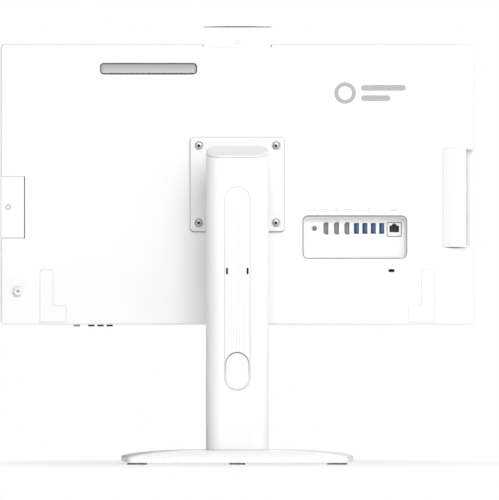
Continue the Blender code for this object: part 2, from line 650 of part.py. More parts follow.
def make_ports():
    """Port bay sunk in the back, with its row of connectors."""
    draft, wall, floor_back = 0.0022, 0.0012, BAY_FLOOR - 0.0015

    def ring(inset, y):
        outline = rounded_rectangle(
            BAY_WIDTH - 2 * inset, BAY_HEIGHT - 2 * inset, max(BAY_CORNER - inset, 0.002), (BAY_X, BAY_Z)
        )
        return [(x, y, z) for x, z in outline]

    per_metre = draft / (BODY_BACK - BAY_FLOOR)
    bay = loft("port_bay", [ring(GAP + draft, floor_back), ring(GAP, BODY_BACK)], WHITE)
    inner_mouth = GAP + wall
    scoop = loft(
        "bay_scoop",
        [ring(inner_mouth + draft, BAY_FLOOR), ring(inner_mouth - per_metre * 0.004, BODY_BACK + 0.004)],
    )
    holes = prism(
        "port_holes",
        [
            *[video_outline(x, GAP) for x in VIDEO_XS],
            *[usb_outline(x, GAP) for x in USB_XS],
            lan_outline(GAP),
            circle((JACK_X, PORT_Z), JACK_R + GAP, 20),
        ],
        "Y", -0.035, -0.020,
    )
    cut(bay, scoop, holes)

    for k, x in enumerate(VIDEO_XS, 1):
        tongue = rectangle((x - 0.0008, PORT_Z - 0.0058), (x + 0.0006, PORT_Z + 0.0058))
        socket(f"video_port_{k}", video_outline(x, 0.0), video_outline(x, -0.0005), tongue, PORT_METAL)
    for k, x in enumerate(USB_XS, 1):
        tongue = rectangle((x + 0.0002, PORT_Z - 0.0055), (x + 0.0021, PORT_Z + 0.0055))
        socket(f"usb_port_{k}", usb_outline(x, 0.0), usb_outline(x, -0.0005), tongue, PORT_BLUE)
    low, high, half = LAN_Z - 0.0030, LAN_Z + 0.0050, 0.0059
    step = [
        (LAN_X - half, low), (LAN_X + half, low), (LAN_X + half, high), (LAN_X + 0.0032, high),
        (LAN_X + 0.0032, high + 0.0016), (LAN_X + 0.0016, high + 0.0016), (LAN_X + 0.0016, high + 0.0028),
        (LAN_X - 0.0016, high + 0.0028), (LAN_X - 0.0016, high + 0.0016), (LAN_X - 0.0032, high + 0.0016),
        (LAN_X - 0.0032, high), (LAN_X - half, high),
    ]
    socket("network_port", lan_outline(0.0), step, None, PORT_METAL)
    socket(
        "power_jack", circle((JACK_X, PORT_Z), JACK_R, 20), circle((JACK_X, PORT_Z), JACK_R - 0.0008, 20),
        circle((JACK_X, PORT_Z), 0.0006, 8), PORT_METAL,
    )


# ---------------------------------------------------------------- side port hood
HOOD_PEAK_Y = -0.0045
SIDE_PORT_Y = -0.0150


def hood_top(x, drop=0.0):
    """The hood swells from the flat back to its crest near the port face."""
    share = (HOOD_X - x) / (HOOD_X - HOOD_FACE)
    return BODY_BACK + (HOOD_PEAK_Y - BODY_BACK) * math.sin(math.pi / 2 * min(share * 1.12, 1.0)) - drop


def make_side_hood():
    """Wedge-shaped hood near the edge: its outer face carries ports that look sideways into a recess."""
    count = 9
    xs = [HOOD_X + (HOOD_FACE + 0.001 - HOOD_X) * k / (count - 1) for k in range(count)]
    outer = [(x, hood_top(x)) for x in xs] + [(HOOD_FACE, hood_top(HOOD_FACE) - 0.001)]
    edge, floor_back = -HALF_W + 0.0002, RECESS_FLOOR - 0.0021
    outer += [(HOOD_FACE, RECESS_FLOOR), (edge, RECESS_FLOOR), (edge, floor_back), (HOOD_X, floor_back)]
    hood = prism("side_port_hood", [outer], "Z", HOOD_LOW, HOOD_HIGH, WHITE)
    wall, end_wall = 0.0018, 0.0018
    inner_xs = [x for x in xs if x < HOOD_X - wall and x > HOOD_FACE + wall]
    inner = [(HOOD_X - wall, -0.040), (HOOD_X - wall, hood_top(HOOD_X - wall, wall))]
    inner += [(x, hood_top(x, wall)) for x in inner_xs]
    inner += [(HOOD_FACE + wall, hood_top(HOOD_FACE + wall, wall)), (HOOD_FACE + wall, -0.040)]
    pocket = prism("hood_pocket", [inner], "Z", HOOD_LOW + end_wall, HOOD_HIGH - end_wall)
    ends = [
        box(
            "hood_end_low",
            (edge, floor_back + 0.0002, HOOD_LOW), (HOOD_FACE + 0.001, BODY_BACK - 0.0002, HOOD_LOW + 0.0015),
        ),
        box(
            "hood_end_high",
            (edge, floor_back + 0.0002, HOOD_HIGH - 0.0015), (HOOD_FACE + 0.001, BODY_BACK - 0.0002, HOOD_HIGH),
        ),
    ]
    cut(join(hood, *ends), pocket)

    def usb_a(z, grow):
        return rounded_rectangle(0.0060 + 2 * grow, 0.0136 + 2 * grow, 0.0006, (SIDE_PORT_Y, z), 2)

    def usb_c(z, grow):
        return rounded_rectangle(0.0036 + 2 * grow, 0.0094 + 2 * grow, 0.0017 + grow, (SIDE_PORT_Y, z), 4)

    jack_z, c_z, a_z, jack_r = 0.378, 0.350, 0.318, 0.0032
    holes = prism(
        "side_holes", [usb_a(a_z, GAP), usb_c(c_z, GAP), circle((SIDE_PORT_Y, jack_z), jack_r + GAP, 20)],
        "X", HOOD_FACE - 0.002, HOOD_FACE + 0.004,
    )
    cut(hood, holes)
    foot, face = -0.2850, HOOD_FACE - 0.0002
    socket("side_usb_a_port", usb_a(a_z, 0.0), usb_a(a_z, -0.0005),
           rectangle((SIDE_PORT_Y + 0.0002, a_z - 0.0055), (SIDE_PORT_Y + 0.0021, a_z + 0.0055)),
           PORT_BLUE, "X", foot, face)
    socket("side_usb_c_port", usb_c(c_z, 0.0), usb_c(c_z, -0.0005),
           rectangle((SIDE_PORT_Y - 0.0004, c_z - 0.0032), (SIDE_PORT_Y + 0.0004, c_z + 0.0032)),
           PORT_METAL, "X", foot, face)
    socket("side_audio_jack", circle((SIDE_PORT_Y, jack_z), jack_r, 20), circle((SIDE_PORT_Y, jack_z), 0.0018, 16),
           None, BLACK_PLASTIC, "X", foot, face)


# ---------------------------------------------------------------- pieces that slide, turn or press
def make_webcam():
    """Pop-up camera: a white block with a dark face plate whose arched top shows above it."""
    housing = box(
        "webcam_housing", (-CAMERA_HALF, CAMERA_FRONT, CAMERA_FOOT), (CAMERA_HALF, CAMERA_BACK, CAMERA_TOP - 0.0012), WHITE
    )
    dimple = cylinder("camera_dimple", (0, CAMERA_BACK, 0.5468), 0.0026, 0.0008, "Y", sides=24)
    cut(housing, dimple)
    arch = [
        (x, CAMERA_TOP - 0.0007 + 0.0007 * (1 - (x / CAMERA_HALF) ** 2))
        for x in [CAMERA_HALF - 2 * CAMERA_HALF * k / 12 for k in range(13)]
    ]
    face = prism(
        "webcam_face", [[*arch, (-CAMERA_HALF, CAMERA_FOOT), (CAMERA_HALF, CAMERA_FOOT)]],
        "Y", CAMERA_FRONT - 0.0020, CAMERA_FRONT - GAP, BLACK_PLASTIC,
    )
    lens_well = cylinder("lens_well", (0, CAMERA_FRONT - 0.0020, 0.5555), 0.0032, 0.0012, "Y", sides=24)
    cut(face, lens_well)


def make_drive():
    """Caddy with an L-shaped door that slides out of the side, carrying a 2.5-inch drive."""
    caddy = box("drive_caddy", (DOOR_LEFT, INNER_BACK, DOOR_LOW), (HALF_W, BODY_BACK, DOOR_HIGH), WHITE)
    round_rim(caddy, 0.0022, 2, lambda a, b: min(a.x, b.x) > HALF_W - 1e-5 and min(a.y, b.y) > BODY_BACK - 1e-5)
    side = box("caddy_side", (HALF_W - WALL, -0.0371, DOOR_LOW), (HALF_W, INNER_BACK + 0.0002, DOOR_HIGH))
    tray = box("caddy_tray", (0.196, -0.0368, 0.296), (HALF_W - 0.001, -0.0353, 0.369))
    join(caddy, side, tray)
    mark = cylinder("door_mark", (0.2972, BODY_BACK, 0.3325), 0.0028, 0.0008, "Y", sides=24)
    cut(caddy, mark)
    box("drive", (0.198, -0.0350, 0.2975), (0.298, -0.0280, 0.3675), ALUMINIUM, 0.0008)


def make_buttons():
    """Power and menu buttons under the bottom edge, each with a flange that holds it in."""
    for name, x in BUTTON_XS.items():
        finish = GREY_PLASTIC if name == "power_button" else BLACK_PLASTIC
        key = prism(
            name, [rounded_rectangle(*BUTTON_SIZE, 0.0012, (x, BUTTON_Y), 3)],
            "Z", BODY_BOTTOM - 0.0023, BODY_BOTTOM + 0.0035, finish,
        )
        flange_low = BODY_BOTTOM + WALL + GAP
        flange = box(
            name + "_flange",
            (x - 0.0052, BUTTON_Y - 0.0042, flange_low), (x + 0.0052, BUTTON_Y + 0.0042, flange_low + 0.0012)
        )
        join(key, flange)


def make_thumb_screw():
    head_foot, head_top = BODY_BACK + GAP, BODY_BACK + 0.0050
    screw = turned(
        "thumb_screw",
        [(0.0, head_top), (0.0050, head_top), (0.0059, head_top - 0.0009), (0.0059, head_foot), (0.0020, head_foot),
         (0.0020, -0.030), (0.0, -0.030)],
        (SCREW_X, 0, SCREW_Z), "Y", STEEL,
    )
    arms = [
        box(
            "cross_wide",
            (SCREW_X - 0.0028, head_top - 0.0014, SCREW_Z - 0.0006), (SCREW_X + 0.0028, 0.0, SCREW_Z + 0.0006),
        ),
        box(
            "cross_tall",
            (SCREW_X - 0.0006, head_top - 0.0014, SCREW_Z - 0.0028), (SCREW_X + 0.0006, 0.0, SCREW_Z + 0.0028),
        ),
    ]
    cut(screw, *arms)


# ---------------------------------------------------------------- electronics inside
def make_electronics():
    """Mainboard with processor and memory socket, memory, finned cooler with its heat pipe, blower and speakers."""
    board = prism(
        "mainboard",
        [rounded_rectangle(0.178, 0.210, 0.002, (-0.151, 0.320), 2), circle((-0.234, 0.421), 0.0016, 10),
         circle((-0.068, 0.421), 0.0016, 10), circle((-0.234, 0.219), 0.0016, 10), circle((-0.068, 0.219), 0.0016, 10)],
        "Y", BOARD_BACK - 0.0016, BOARD_BACK, CIRCUIT,
    )
    join(
        board,
        box("processor", (-0.1285, BOARD_BACK - 0.0005, 0.3765), (-0.0915, BOARD_BACK + 0.0010, 0.4135)),
        box("memory_socket", (-0.162, BOARD_BACK - 0.0005, 0.3605), (-0.090, -0.0290, 0.3660)),
        box("chip", (-0.185, BOARD_BACK - 0.0005, 0.240), (-0.165, BOARD_BACK + 0.0012, 0.260)),
        box("choke", (-0.225, BOARD_BACK - 0.0005, 0.385), (-0.210, BOARD_BACK + 0.0060, 0.400)),
    )
    box("memory_module", (-0.1598, -0.0340, 0.3305), (-0.0922, -0.0306, 0.3602), CIRCUIT)

    fin_count, left, right, back, front = 22, 0.178, 0.054, -0.0170, -0.0370
    pitch = (left - right) / fin_count
    comb = [(left, front), (left, back)]
    for k in range(fin_count - 1):
        x = left - pitch * (k + 0.55)
        comb += [(x, back), (x, front + 0.0015), (x - pitch * 0.45, front + 0.0015), (x - pitch * 0.45, back)]
    comb += [(right, back), (right, front)]
    fins = prism("heatsink", [comb[::-1]], "Z", 0.492, 0.530, ALUMINIUM)
    pipe_y, pipe_r = -0.0318, 0.0022
    route = [(0.066, 0.497), (0.060, 0.494), (0.0565, 0.485), (0.0555, 0.468), (0.048, 0.455), (0.030, 0.450),
             (-0.060, 0.450), (-0.090, 0.447), (-0.105, 0.436), (-0.110, 0.420), (-0.110, 0.396)]
    pipe = loft("heat_pipe", pipe_rings(route, pipe_y, pipe_r))
    cold_plate = box("cold_plate", (-0.130, BOARD_BACK + 0.0013, 0.375), (-0.090, -0.0320, 0.415))
    join(fins, pipe, cold_plate)

    fan_x, fan_z, low_y, high_y = 0.115, 0.440, -0.0370, -0.0200
    housing = box(
        "fan_housing", (fan_x - 0.046, low_y, fan_z - 0.046), (fan_x + 0.046, high_y, fan_z + 0.046), BLACK_PLASTIC
    )
    chamber_y = ((low_y + 0.0015) + (high_y - 0.0015)) / 2
    depth = high_y - low_y - 0.003
    chamber = cylinder("fan_chamber", (fan_x, chamber_y, fan_z), 0.042, depth, "Y", sides=40)
    outlet_low, outlet_high = (fan_x - 0.0415, low_y + 0.0015, fan_z + 0.005), (fan_x + 0.0415, high_y - 0.0015, fan_z + 0.06)
    outlet = box("fan_outlet", outlet_low, outlet_high)
    inlet = cylinder("fan_inlet", (fan_x, high_y, fan_z), 0.028, 0.008, "Y", sides=32)
    cut(housing, chamber, outlet, inlet)

    blades, hub_r, tip_r = 13, 0.014, 0.038
    fan_low, fan_high = low_y + 0.0019, high_y - 0.0021
    star = []
    for k in range(blades):
        a = 360 * k / blades
        star += arc((fan_x, fan_z), hub_r, a + 5, a + 360 / blades - 5, 3)
        star += [polar(fan_x, fan_z, tip_r, a + 360 / blades + 16), polar(fan_x, fan_z, tip_r, a + 360 / blades + 19)]
    prism("fan_impeller", [star], "Y", fan_low, fan_high, BLACK_PLASTIC)

    for name, side in (("speaker_left", 1), ("speaker_right", -1)):
        xs = sorted((side * 0.225, side * 0.290))
        speaker = box(name, (xs[0], -0.0375, 0.1845), (xs[1], -0.0195, 0.2125), BLACK_PLASTIC, 0.002)
        cone = cylinder(name + "_cone", (side * 0.2575, -0.0195, 0.1985), 0.010, 0.003, "Y", sides=24)
        cut(speaker, cone)


def polar(x, z, radius, degrees):
    return (x + radius * math.cos(math.radians(degrees)), z + radius * math.sin(math.radians(degrees)))


def pipe_rings(route, y, radius, sides=8):
    """Rings round a route that lies in one plane parallel to the screen."""
    rings = []
    for k, (x, z) in enumerate(route):
        before, after = route[max(k - 1, 0)], route[min(k + 1, len(route) - 1)]
        along = Vector((after[0] - before[0], after[1] - before[1])).normalized()
        across = Vector((-along.y, along.x))
        ring = []
        for s in range(sides):
            a = 2 * math.pi * s / sides
            shift = across * radius * math.cos(a)
            ring.append((x + shift.x, y + radius * math.sin(a), z + shift.y))
        rings.append(ring)
    return rings


make_base()
make_column()
make_carriage()
make_mount_plate()
make_rear_cover()
make_front()
make_vent_grille()
make_ports()
make_side_hood()
make_webcam()
make_drive()
make_buttons()
make_thumb_screw()
make_electronics()
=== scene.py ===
"""Surfaces, studio and camera for an all-in-one PC on its stand, laid out as an add-on, run as a script."""

import math

import bmesh
import bpy
from mathutils import Matrix, Vector


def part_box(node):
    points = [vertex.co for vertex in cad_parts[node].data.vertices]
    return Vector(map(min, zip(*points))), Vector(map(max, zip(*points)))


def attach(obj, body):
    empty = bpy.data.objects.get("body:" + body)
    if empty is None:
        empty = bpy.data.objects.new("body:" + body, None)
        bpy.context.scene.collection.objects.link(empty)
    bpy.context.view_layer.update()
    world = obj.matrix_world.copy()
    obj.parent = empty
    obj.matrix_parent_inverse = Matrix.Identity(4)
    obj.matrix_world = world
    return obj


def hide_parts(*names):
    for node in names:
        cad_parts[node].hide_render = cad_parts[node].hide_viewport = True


bl_info = {
    "name": "All-in-One PC",
    "version": (1, 0, 0),
    "blender": (4, 5, 0),
    "location": "View3D > Sidebar > All-in-One PC",
    "description": "Builds the detailed pieces, finishes and studio of an all-in-one PC",
    "category": "Object",
}

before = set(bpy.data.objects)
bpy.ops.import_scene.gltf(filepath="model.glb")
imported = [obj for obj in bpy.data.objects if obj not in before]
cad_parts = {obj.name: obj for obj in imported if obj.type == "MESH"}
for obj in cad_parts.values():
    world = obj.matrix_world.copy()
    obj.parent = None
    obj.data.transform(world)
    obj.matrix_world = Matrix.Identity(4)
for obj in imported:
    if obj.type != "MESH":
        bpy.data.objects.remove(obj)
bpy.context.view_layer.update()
FINISHES = {}
RECESS_EDGE, RECESS_INNER = -0.3064, -0.2970  # sides of the recess beside the side ports' hood, along X


# ---------------------------------------------------------------- sizes and colours
class PC_PG_sizes(bpy.types.PropertyGroup):
    """Sizes of the details that the frame leaves plain."""

    edge: bpy.props.FloatProperty(
        name="Edge rounding", description="Radius on the edges of moulded pieces",
        default=0.0004, unit="LENGTH",
    )
    rib_count: bpy.props.IntProperty(
        name="Inlay ribs", description="Upright ribs on the column's inlay", default=7, min=1
    )
    rib_height: bpy.props.FloatProperty(
        name="Rib height", description="How far a rib stands out of the inlay", default=0.00036, unit="LENGTH"
    )
    slat_pitch: bpy.props.FloatProperty(
        name="Vent pitch", description="Distance between the vent's fine slats",
        default=0.00176, unit="LENGTH",
    )
    bridge_pitch: bpy.props.FloatProperty(
        name="Vent bridges", description="Distance between the bridges under the slats",
        default=0.007, unit="LENGTH",
    )
    knurl_count: bpy.props.IntProperty(
        name="Knurls", description="Ridges round the thumb screw's head", default=40, min=6
    )
    hole_pitch: bpy.props.FloatProperty(
        name="Hole pitch", description="Distance between the speaker holes", default=0.0024, unit="LENGTH"
    )


class PC_PG_colours(bpy.types.PropertyGroup):
    """Colours of the main finishes."""

    white: bpy.props.FloatVectorProperty(
        name="Shell white", description="Moulded shells", size=3, subtype="COLOR",
        default=(0.87, 0.872, 0.875),
    )
    coat: bpy.props.FloatVectorProperty(
        name="Coated metal", description="Base and mount plate", size=3, subtype="COLOR",
        default=(0.92, 0.922, 0.925),
    )
    grey: bpy.props.FloatVectorProperty(
        name="Grey plastic", description="Vent and power button", size=3, subtype="COLOR",
        default=(0.46, 0.465, 0.47),
    )
    blue: bpy.props.FloatVectorProperty(
        name="Fast port blue", description="Tongues of the fast ports", size=3, subtype="COLOR",
        default=(0.028, 0.125, 0.32),
    )
    print_grey: bpy.props.FloatVectorProperty(
        name="Printed grey", description="Printed marks", size=3, subtype="COLOR", default=(0.50, 0.505, 0.51)
    )


# ---------------------------------------------------------------- shader building
class Wire:
    """An output socket. Arithmetic on it adds Math nodes."""

    def __init__(self, finish, socket):
        self.finish, self.socket = finish, socket

    def maths(self, operation, *values):
        return self.finish.node("ShaderNodeMath", {"operation": operation}, dict(enumerate(values)))

    def __add__(self, other):
        return self.maths("ADD", self, other)

    def __sub__(self, other):
        return self.maths("SUBTRACT", self, other)

    def __rsub__(self, other):
        return self.maths("SUBTRACT", other, self)

    def __mul__(self, other):
        return self.maths("MULTIPLY", self, other)

    def __truediv__(self, other):
        return self.maths("DIVIDE", self, other)

    def __lt__(self, other):
        return self.maths("LESS_THAN", self, other)

    def __gt__(self, other):
        return self.maths("GREATER_THAN", self, other)

    def __abs__(self):
        return self.maths("ABSOLUTE", self)

    __radd__, __rmul__ = __add__, __mul__

    def wrapped(self, step):
        """Position inside a cell of that length, from 0 to 1."""
        return self.maths("FRACT", self / step)


class Finish:
    """One material and its node tree."""

    def __init__(self, name, colour, **constants):
        self.material = bpy.data.materials.new(name)
        self.material.use_nodes = True
        self.tree = self.material.node_tree
        self.shader = self.tree.nodes["Principled BSDF"]
        self.shader.inputs["Base Color"].default_value = (*colour, 1.0)
        for key, value in constants.items():
            self.shader.inputs[key.replace("_", " ").title().replace("Ior", "IOR")].default_value = value
        self.place = self.node("ShaderNodeTexCoord", output="Object")
        FINISHES[name] = self.material

    def node(self, kind, settings=None, sockets=None, output=0):
        """Adds a node, with its settings first and then its sockets' values or links."""
        made = self.tree.nodes.new(kind)
        for key, value in (settings or {}).items():
            if key == "stops":
                self.set_stops(made.color_ramp, value)
            else:
                setattr(made, key, value)
        for key, value in (sockets or {}).items():
            if isinstance(value, Wire):
                self.tree.links.new(value.socket, made.inputs[key])
            else:
                made.inputs[key].default_value = value
        return Wire(self, made.outputs[output])

    @staticmethod
    def set_stops(ramp, stops):
        """Stops are (position, grey or colour)."""
        while len(ramp.elements) < len(stops):
            ramp.elements.new(0.5)
        for element, (position, colour) in zip(ramp.elements, stops):
            element.position = position
            element.color = (colour, colour, colour, 1.0) if isinstance(colour, float) else (*colour, 1.0)

    def feed(self, **wires):
        for key, wire in wires.items():
            self.tree.links.new(wire.socket, self.shader.inputs[key.replace("_", " ").title()])

    def stretched(self, scale):
        """The piece's own coordinates, scaled apart along the three axes."""
        return self.node("ShaderNodeMapping", None, {"Vector": self.place, "Scale": scale})

    def noise(self, scale, detail=3.0, roughness=0.55, where=None):
        sockets = {"Vector": where or self.place, "Scale": scale, "Detail": detail, "Roughness": roughness}
        return self.node("ShaderNodeTexNoise", None, sockets)

    def cells(self, scale, where=None):
        return self.node("ShaderNodeTexVoronoi", None, {"Vector": where or self.place, "Scale": scale})

    def ramp(self, factor, stops):
        return self.node("ShaderNodeValToRGB", {"stops": stops}, {"Fac": factor})

    def mix(self, factor, first, second):
        sockets = {0: factor, 6: first, 7: second}
        for key in (6, 7):
            if isinstance(sockets[key], tuple):
                sockets[key] = (*sockets[key], 1.0)
        return self.node("ShaderNodeMix", {"data_type": "RGBA"}, sockets, output=2)

    def axes(self):
        split = self.node("ShaderNodeSeparateXYZ", None, {0: self.place}).socket.node
        return [Wire(self, socket) for socket in split.outputs]

    def length(self, x, y):
        return self.node("ShaderNodeMath", {"operation": "SQRT"}, {0: x * x + y * y})

    def bump(self, height, strength, distance):
        sockets = {"Height": height, "Strength": strength, "Distance": distance}
        return self.node("ShaderNodeBump", None, sockets)


def scaled(colour, share):
    return tuple(c * share for c in colour)


def moulded(name, colour, rough=0.42, relief=0.00003):
    """Moulded plastic: a fine spark-eroded grain, with slow drifts of tone and gloss."""
    made = Finish(name, colour, roughness=rough)
    grain = 2600.0
    drift = made.noise(7.0, 2.0)
    grain_height = made.noise(grain, 2.0, 0.6) * 0.7 + made.cells(grain * 0.8) * 0.3
    speck = made.noise(grain * 0.35, 3.0)
    tone = made.ramp(drift * 0.8 + speck * 0.2, [(0.36, scaled(colour, 0.965)), (0.62, colour)])
    made.feed(
        base_color=tone,
        roughness=drift * 0.10 + speck * 0.08 + (rough - 0.09),
        normal=made.bump(grain_height, 0.35, relief),
    )


def graded(name, upper, lower, axis, limits):
    """Plastic painted with shade along an axis: the lower tone at the low end and the upper tone at the high
    end, with a fine speck.
    """
    made = Finish(name, lower, roughness=0.55)
    k = "XYZ".index(axis)
    low, high = limits[0][k], limits[1][k]
    along = (made.axes()[k] - low) * (1.0 / (high - low))
    speck = made.noise(700.0, 3.0)
    made.feed(
        base_color=made.ramp(along + (speck - 0.5) * 0.08, [(0.15, lower), (0.95, upper)]),
        roughness=speck * 0.1 + 0.5,
        normal=made.bump(speck, 0.3, 0.00002),
    )


def coated(name, colour):
    """Powder-coated metal: a shallow orange peel under a satin skin."""
    made = Finish(name, colour, roughness=0.36, metallic=0.0, coat_weight=0.18, coat_roughness=0.28)
    peel = made.noise(420.0, 2.0, 0.4)
    fine = made.noise(2300.0, 1.0)
    drift = made.noise(5.0, 2.0)
    tone = made.ramp(drift, [(0.35, scaled(colour, 0.97)), (0.65, colour)])
    made.feed(
        base_color=tone,
        roughness=fine * 0.10 + drift * 0.06 + 0.30,
        normal=made.bump(peel * 0.8 + fine * 0.2, 0.25, 0.00008),
    )


def metal(name, colour, rough, stretch):
    """Worked metal: grain that runs along the longest stretch, with rubbed patches."""
    made = Finish(name, colour, roughness=rough, metallic=1.0)
    lines = made.noise(1.0, 4.0, 0.6, where=made.stretched(stretch))
    patch = made.noise(60.0, 3.0)
    tone = made.ramp(lines * 0.5 + patch * 0.5, [(0.30, scaled(colour, 0.80)), (0.62, colour)])
    made.feed(
        base_color=tone,
        roughness=lines * 0.16 + patch * 0.10 + (rough - 0.13),
        normal=made.bump(lines, 0.35, 0.00002),
    )


def rubber(name, tone):
    """Rubber with a pebbled skin, paler where dust has settled."""
    made = Finish(name, (tone, tone, tone * 1.04), roughness=0.8)
    pebble = made.cells(1500.0)
    dust = made.noise(240.0, 4.0)
    clean, dusty = (tone * 0.8, tone * 0.8, tone * 0.84), (tone * 1.9,) * 3
    made.feed(
        base_color=made.ramp(dust, [(0.4, clean), (0.7, dusty)]),
        roughness=dust * 0.2 + 0.66,
        normal=made.bump(pebble, 0.5, 0.00006),
    )


def screen_glass(name, node):
    """The screen when it is off: a dark panel behind glass, with a darker border printed round it."""
    made = Finish(
        name, (0.008, 0.009, 0.011), roughness=0.12, specular_ior_level=0.5,
        coat_weight=0.25, coat_roughness=0.10,
    )
    border = 0.0062
    x, _, z = made.axes()
    (middle_x, middle_z), wide, tall = seen(node)
    inside = (abs(x - middle_x) < wide / 2 - border) * (abs(z - middle_z) < tall / 2 - border)
    cell = made.noise(900.0, 1.0) * 0.3 + made.noise(3.0, 2.0) * 0.7
    panel = made.ramp(cell, [(0.3, (0.010, 0.012, 0.016)), (0.7, (0.017, 0.019, 0.024))])
    smear = made.noise(9.0, 5.0, 0.65)
    made.feed(
        base_color=made.mix(inside, (0.004, 0.004, 0.0045), panel),
        roughness=smear * 0.06 + inside * 0.05 + 0.06,
    )


def circuit(name, mask):
    """Solder mask over copper: traces in both directions, with plated holes."""
    made = Finish(name, mask, roughness=0.38, specular_ior_level=0.6)
    x, _, z = made.axes()
    lane = made.noise(34.0, 0.0) > 0.5
    across = abs(x.wrapped(0.0019) - 0.5) < 0.16
    along = abs(z.wrapped(0.0021) - 0.5) < 0.16
    run = made.noise(58.0, 0.0) > 0.46
    trace = (lane * across + (1.0 - lane) * along) * run
    dots = made.cells(310.0, where=made.stretched((1.0, 0.02, 1.0)))
    hole = dots < 0.12
    ring = dots < 0.22
    copper = made.mix(trace, mask, tuple(min(1.0, c * 2.0 + 0.01) for c in mask))
    plated = made.mix(ring, copper, (0.70, 0.62, 0.42))
    made.feed(
        base_color=made.mix(hole, plated, (0.01, 0.01, 0.01)),
        metallic=ring * (1.0 - hole) * 0.9,
        roughness=0.42 - trace * 0.08,
        normal=made.bump(trace + ring, 0.4, 0.00004),
    )


def plain_gloss(name, colour, rough, **constants):
    """Small hard parts such as pins, lamps and print: even, with a trace of wear."""
    made = Finish(name, colour, roughness=rough, **constants)
    wear = made.noise(400.0, 3.0)
    made.feed(
        base_color=made.ramp(wear, [(0.35, scaled(colour, 0.86)), (0.65, colour)]),
        roughness=wear * 0.12 + max(rough - 0.06, 0.02),
    )


def make_finishes(colours):
    white, coat, grey = tuple(colours.white), tuple(colours.coat), tuple(colours.grey)
    moulded("white_shell", white)
    moulded("white_inlay", scaled(white, 0.985), rough=0.34, relief=0.00002)
    coated("base_white", coat)
    coated("plate_white", scaled(coat, 0.93))
    moulded("grey_plastic", grey, rough=0.5)
    # Painted shade: the dark grey of the vent's rim stands for its shaded recess walls
    moulded("vent_rim_painted_shade", (0.13, 0.13, 0.135), rough=0.55)
    moulded("power_grey", scaled(grey, 0.62), rough=0.5)
    moulded("socket_grey", scaled(grey, 0.60), rough=0.5)
    moulded("trim_grey", (0.24, 0.245, 0.25), rough=0.45)
    # Painted shade: a grey for the shaded edges of recesses, on the port bay's mouth, the camera slot's sill
    # and the thumb screw's cross
    moulded("painted_shade_grey", (0.27, 0.275, 0.28), rough=0.5)
    moulded("strip_grey", (0.40, 0.405, 0.41), rough=0.5)
    # Painted shade: the vent's slats, darker towards their top where the recess shades them
    graded("vent_grey_painted_shade", scaled(grey, 0.80), scaled(grey, 1.42), "Z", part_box("vent_grille"))
    # Painted shade: the sheet in the recess beside the side ports' hood, darker next to the hood
    recess_shade_span = Vector((RECESS_EDGE, 0, 0)), Vector((RECESS_INNER + 0.0003, 0, 0))
    graded("recess_painted_shade", scaled(white, 0.64), scaled(white, 0.97), "X", recess_shade_span)
    # Painted shade: the cable grommet, dark at its top and light at its bottom
    graded("grommet_painted_shade", (0.10, 0.10, 0.105), (0.84, 0.84, 0.84), "Z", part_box("cable_grommet"))
    moulded("black_plastic", (0.022, 0.022, 0.023), rough=0.45, relief=0.00004)
    moulded("dark_well", (0.006, 0.006, 0.006), rough=0.8)
    moulded("camera_black", (0.035, 0.035, 0.037), rough=0.26, relief=0.00001)
    moulded("port_blue", tuple(colours.blue), rough=0.38)
    moulded("port_white", (0.80, 0.80, 0.79), rough=0.45)
    metal("steel", (0.60, 0.60, 0.61), 0.30, (240.0, 240.0, 2600.0))
    metal("nickel", (0.66, 0.66, 0.67), 0.24, (900.0, 900.0, 900.0))
    coated("screw_bright", (0.84, 0.84, 0.85))
    metal("screw_steel", (0.52, 0.52, 0.525), 0.42, (900.0, 900.0, 900.0))
    metal("port_metal", (0.36, 0.36, 0.37), 0.36, (1400.0, 260.0, 1400.0))
    metal("aluminium", (0.72, 0.72, 0.73), 0.38, (700.0, 700.0, 700.0))
    metal("fin_aluminium", (0.76, 0.76, 0.77), 0.30, (90.0, 90.0, 1800.0))
    metal("copper", (0.80, 0.42, 0.26), 0.26, (200.0, 900.0, 200.0))
    metal("gold", (0.83, 0.61, 0.27), 0.24, (800.0, 800.0, 800.0))
    rubber("rubber", 0.045)
    rubber("pad_grey", 0.16)
    circuit("circuit_board", (0.012, 0.085, 0.040))
    plain_gloss("chip_black", (0.018, 0.018, 0.019), 0.42)
    plain_gloss("printed_grey", tuple(colours.print_grey), 0.5)
    plain_gloss("badge_grey", scaled(colours.print_grey, 0.86), 0.34)
    plain_gloss("port_navy", (0.010, 0.026, 0.060), 0.5)
    plain_gloss("lens_glass", (0.010, 0.010, 0.016), 0.05, coat_weight=1.0, coat_roughness=0.02)
    plain_gloss("lamp_white", (0.75, 0.76, 0.72), 0.3)
    screen_glass("screen", "lcd_panel")


# ---------------------------------------------------------------- measures of the frame's nodes
def middle(node):
    """Middle of a node's box along the three axes."""
    low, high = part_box(node)
    return [(a + b) / 2 for a, b in zip(low, high)]


def seen(node):
    """Middle, width and height of a node as seen from behind."""
    low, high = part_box(node)
    x, _, z = middle(node)
    return (x, z), high.x - low.x, high.z - low.z


# ---------------------------------------------------------------- mesh building
def new_object(name, mesh):
    obj = bpy.data.objects.new(name, mesh)
    bpy.context.scene.collection.objects.link(obj)
    return obj


def from_bmesh(name, bm, weld=1e-6):
    bmesh.ops.remove_doubles(bm, verts=bm.verts, dist=weld)
    bmesh.ops.recalc_face_normals(bm, faces=bm.faces)
    mesh = bpy.data.meshes.new(name)
    bm.to_mesh(mesh)
    bm.free()
    return new_object(name, mesh)


def arc(centre, radius, start, end, points):
    steps = [math.radians(start + (end - start) * k / (points - 1)) for k in range(points)]
    return [(centre[0] + radius * math.cos(a), centre[1] + radius * math.sin(a)) for a in steps]


def circle(centre, radius, points=32):
    return arc(centre, radius, 0, 360, points + 1)[:-1]


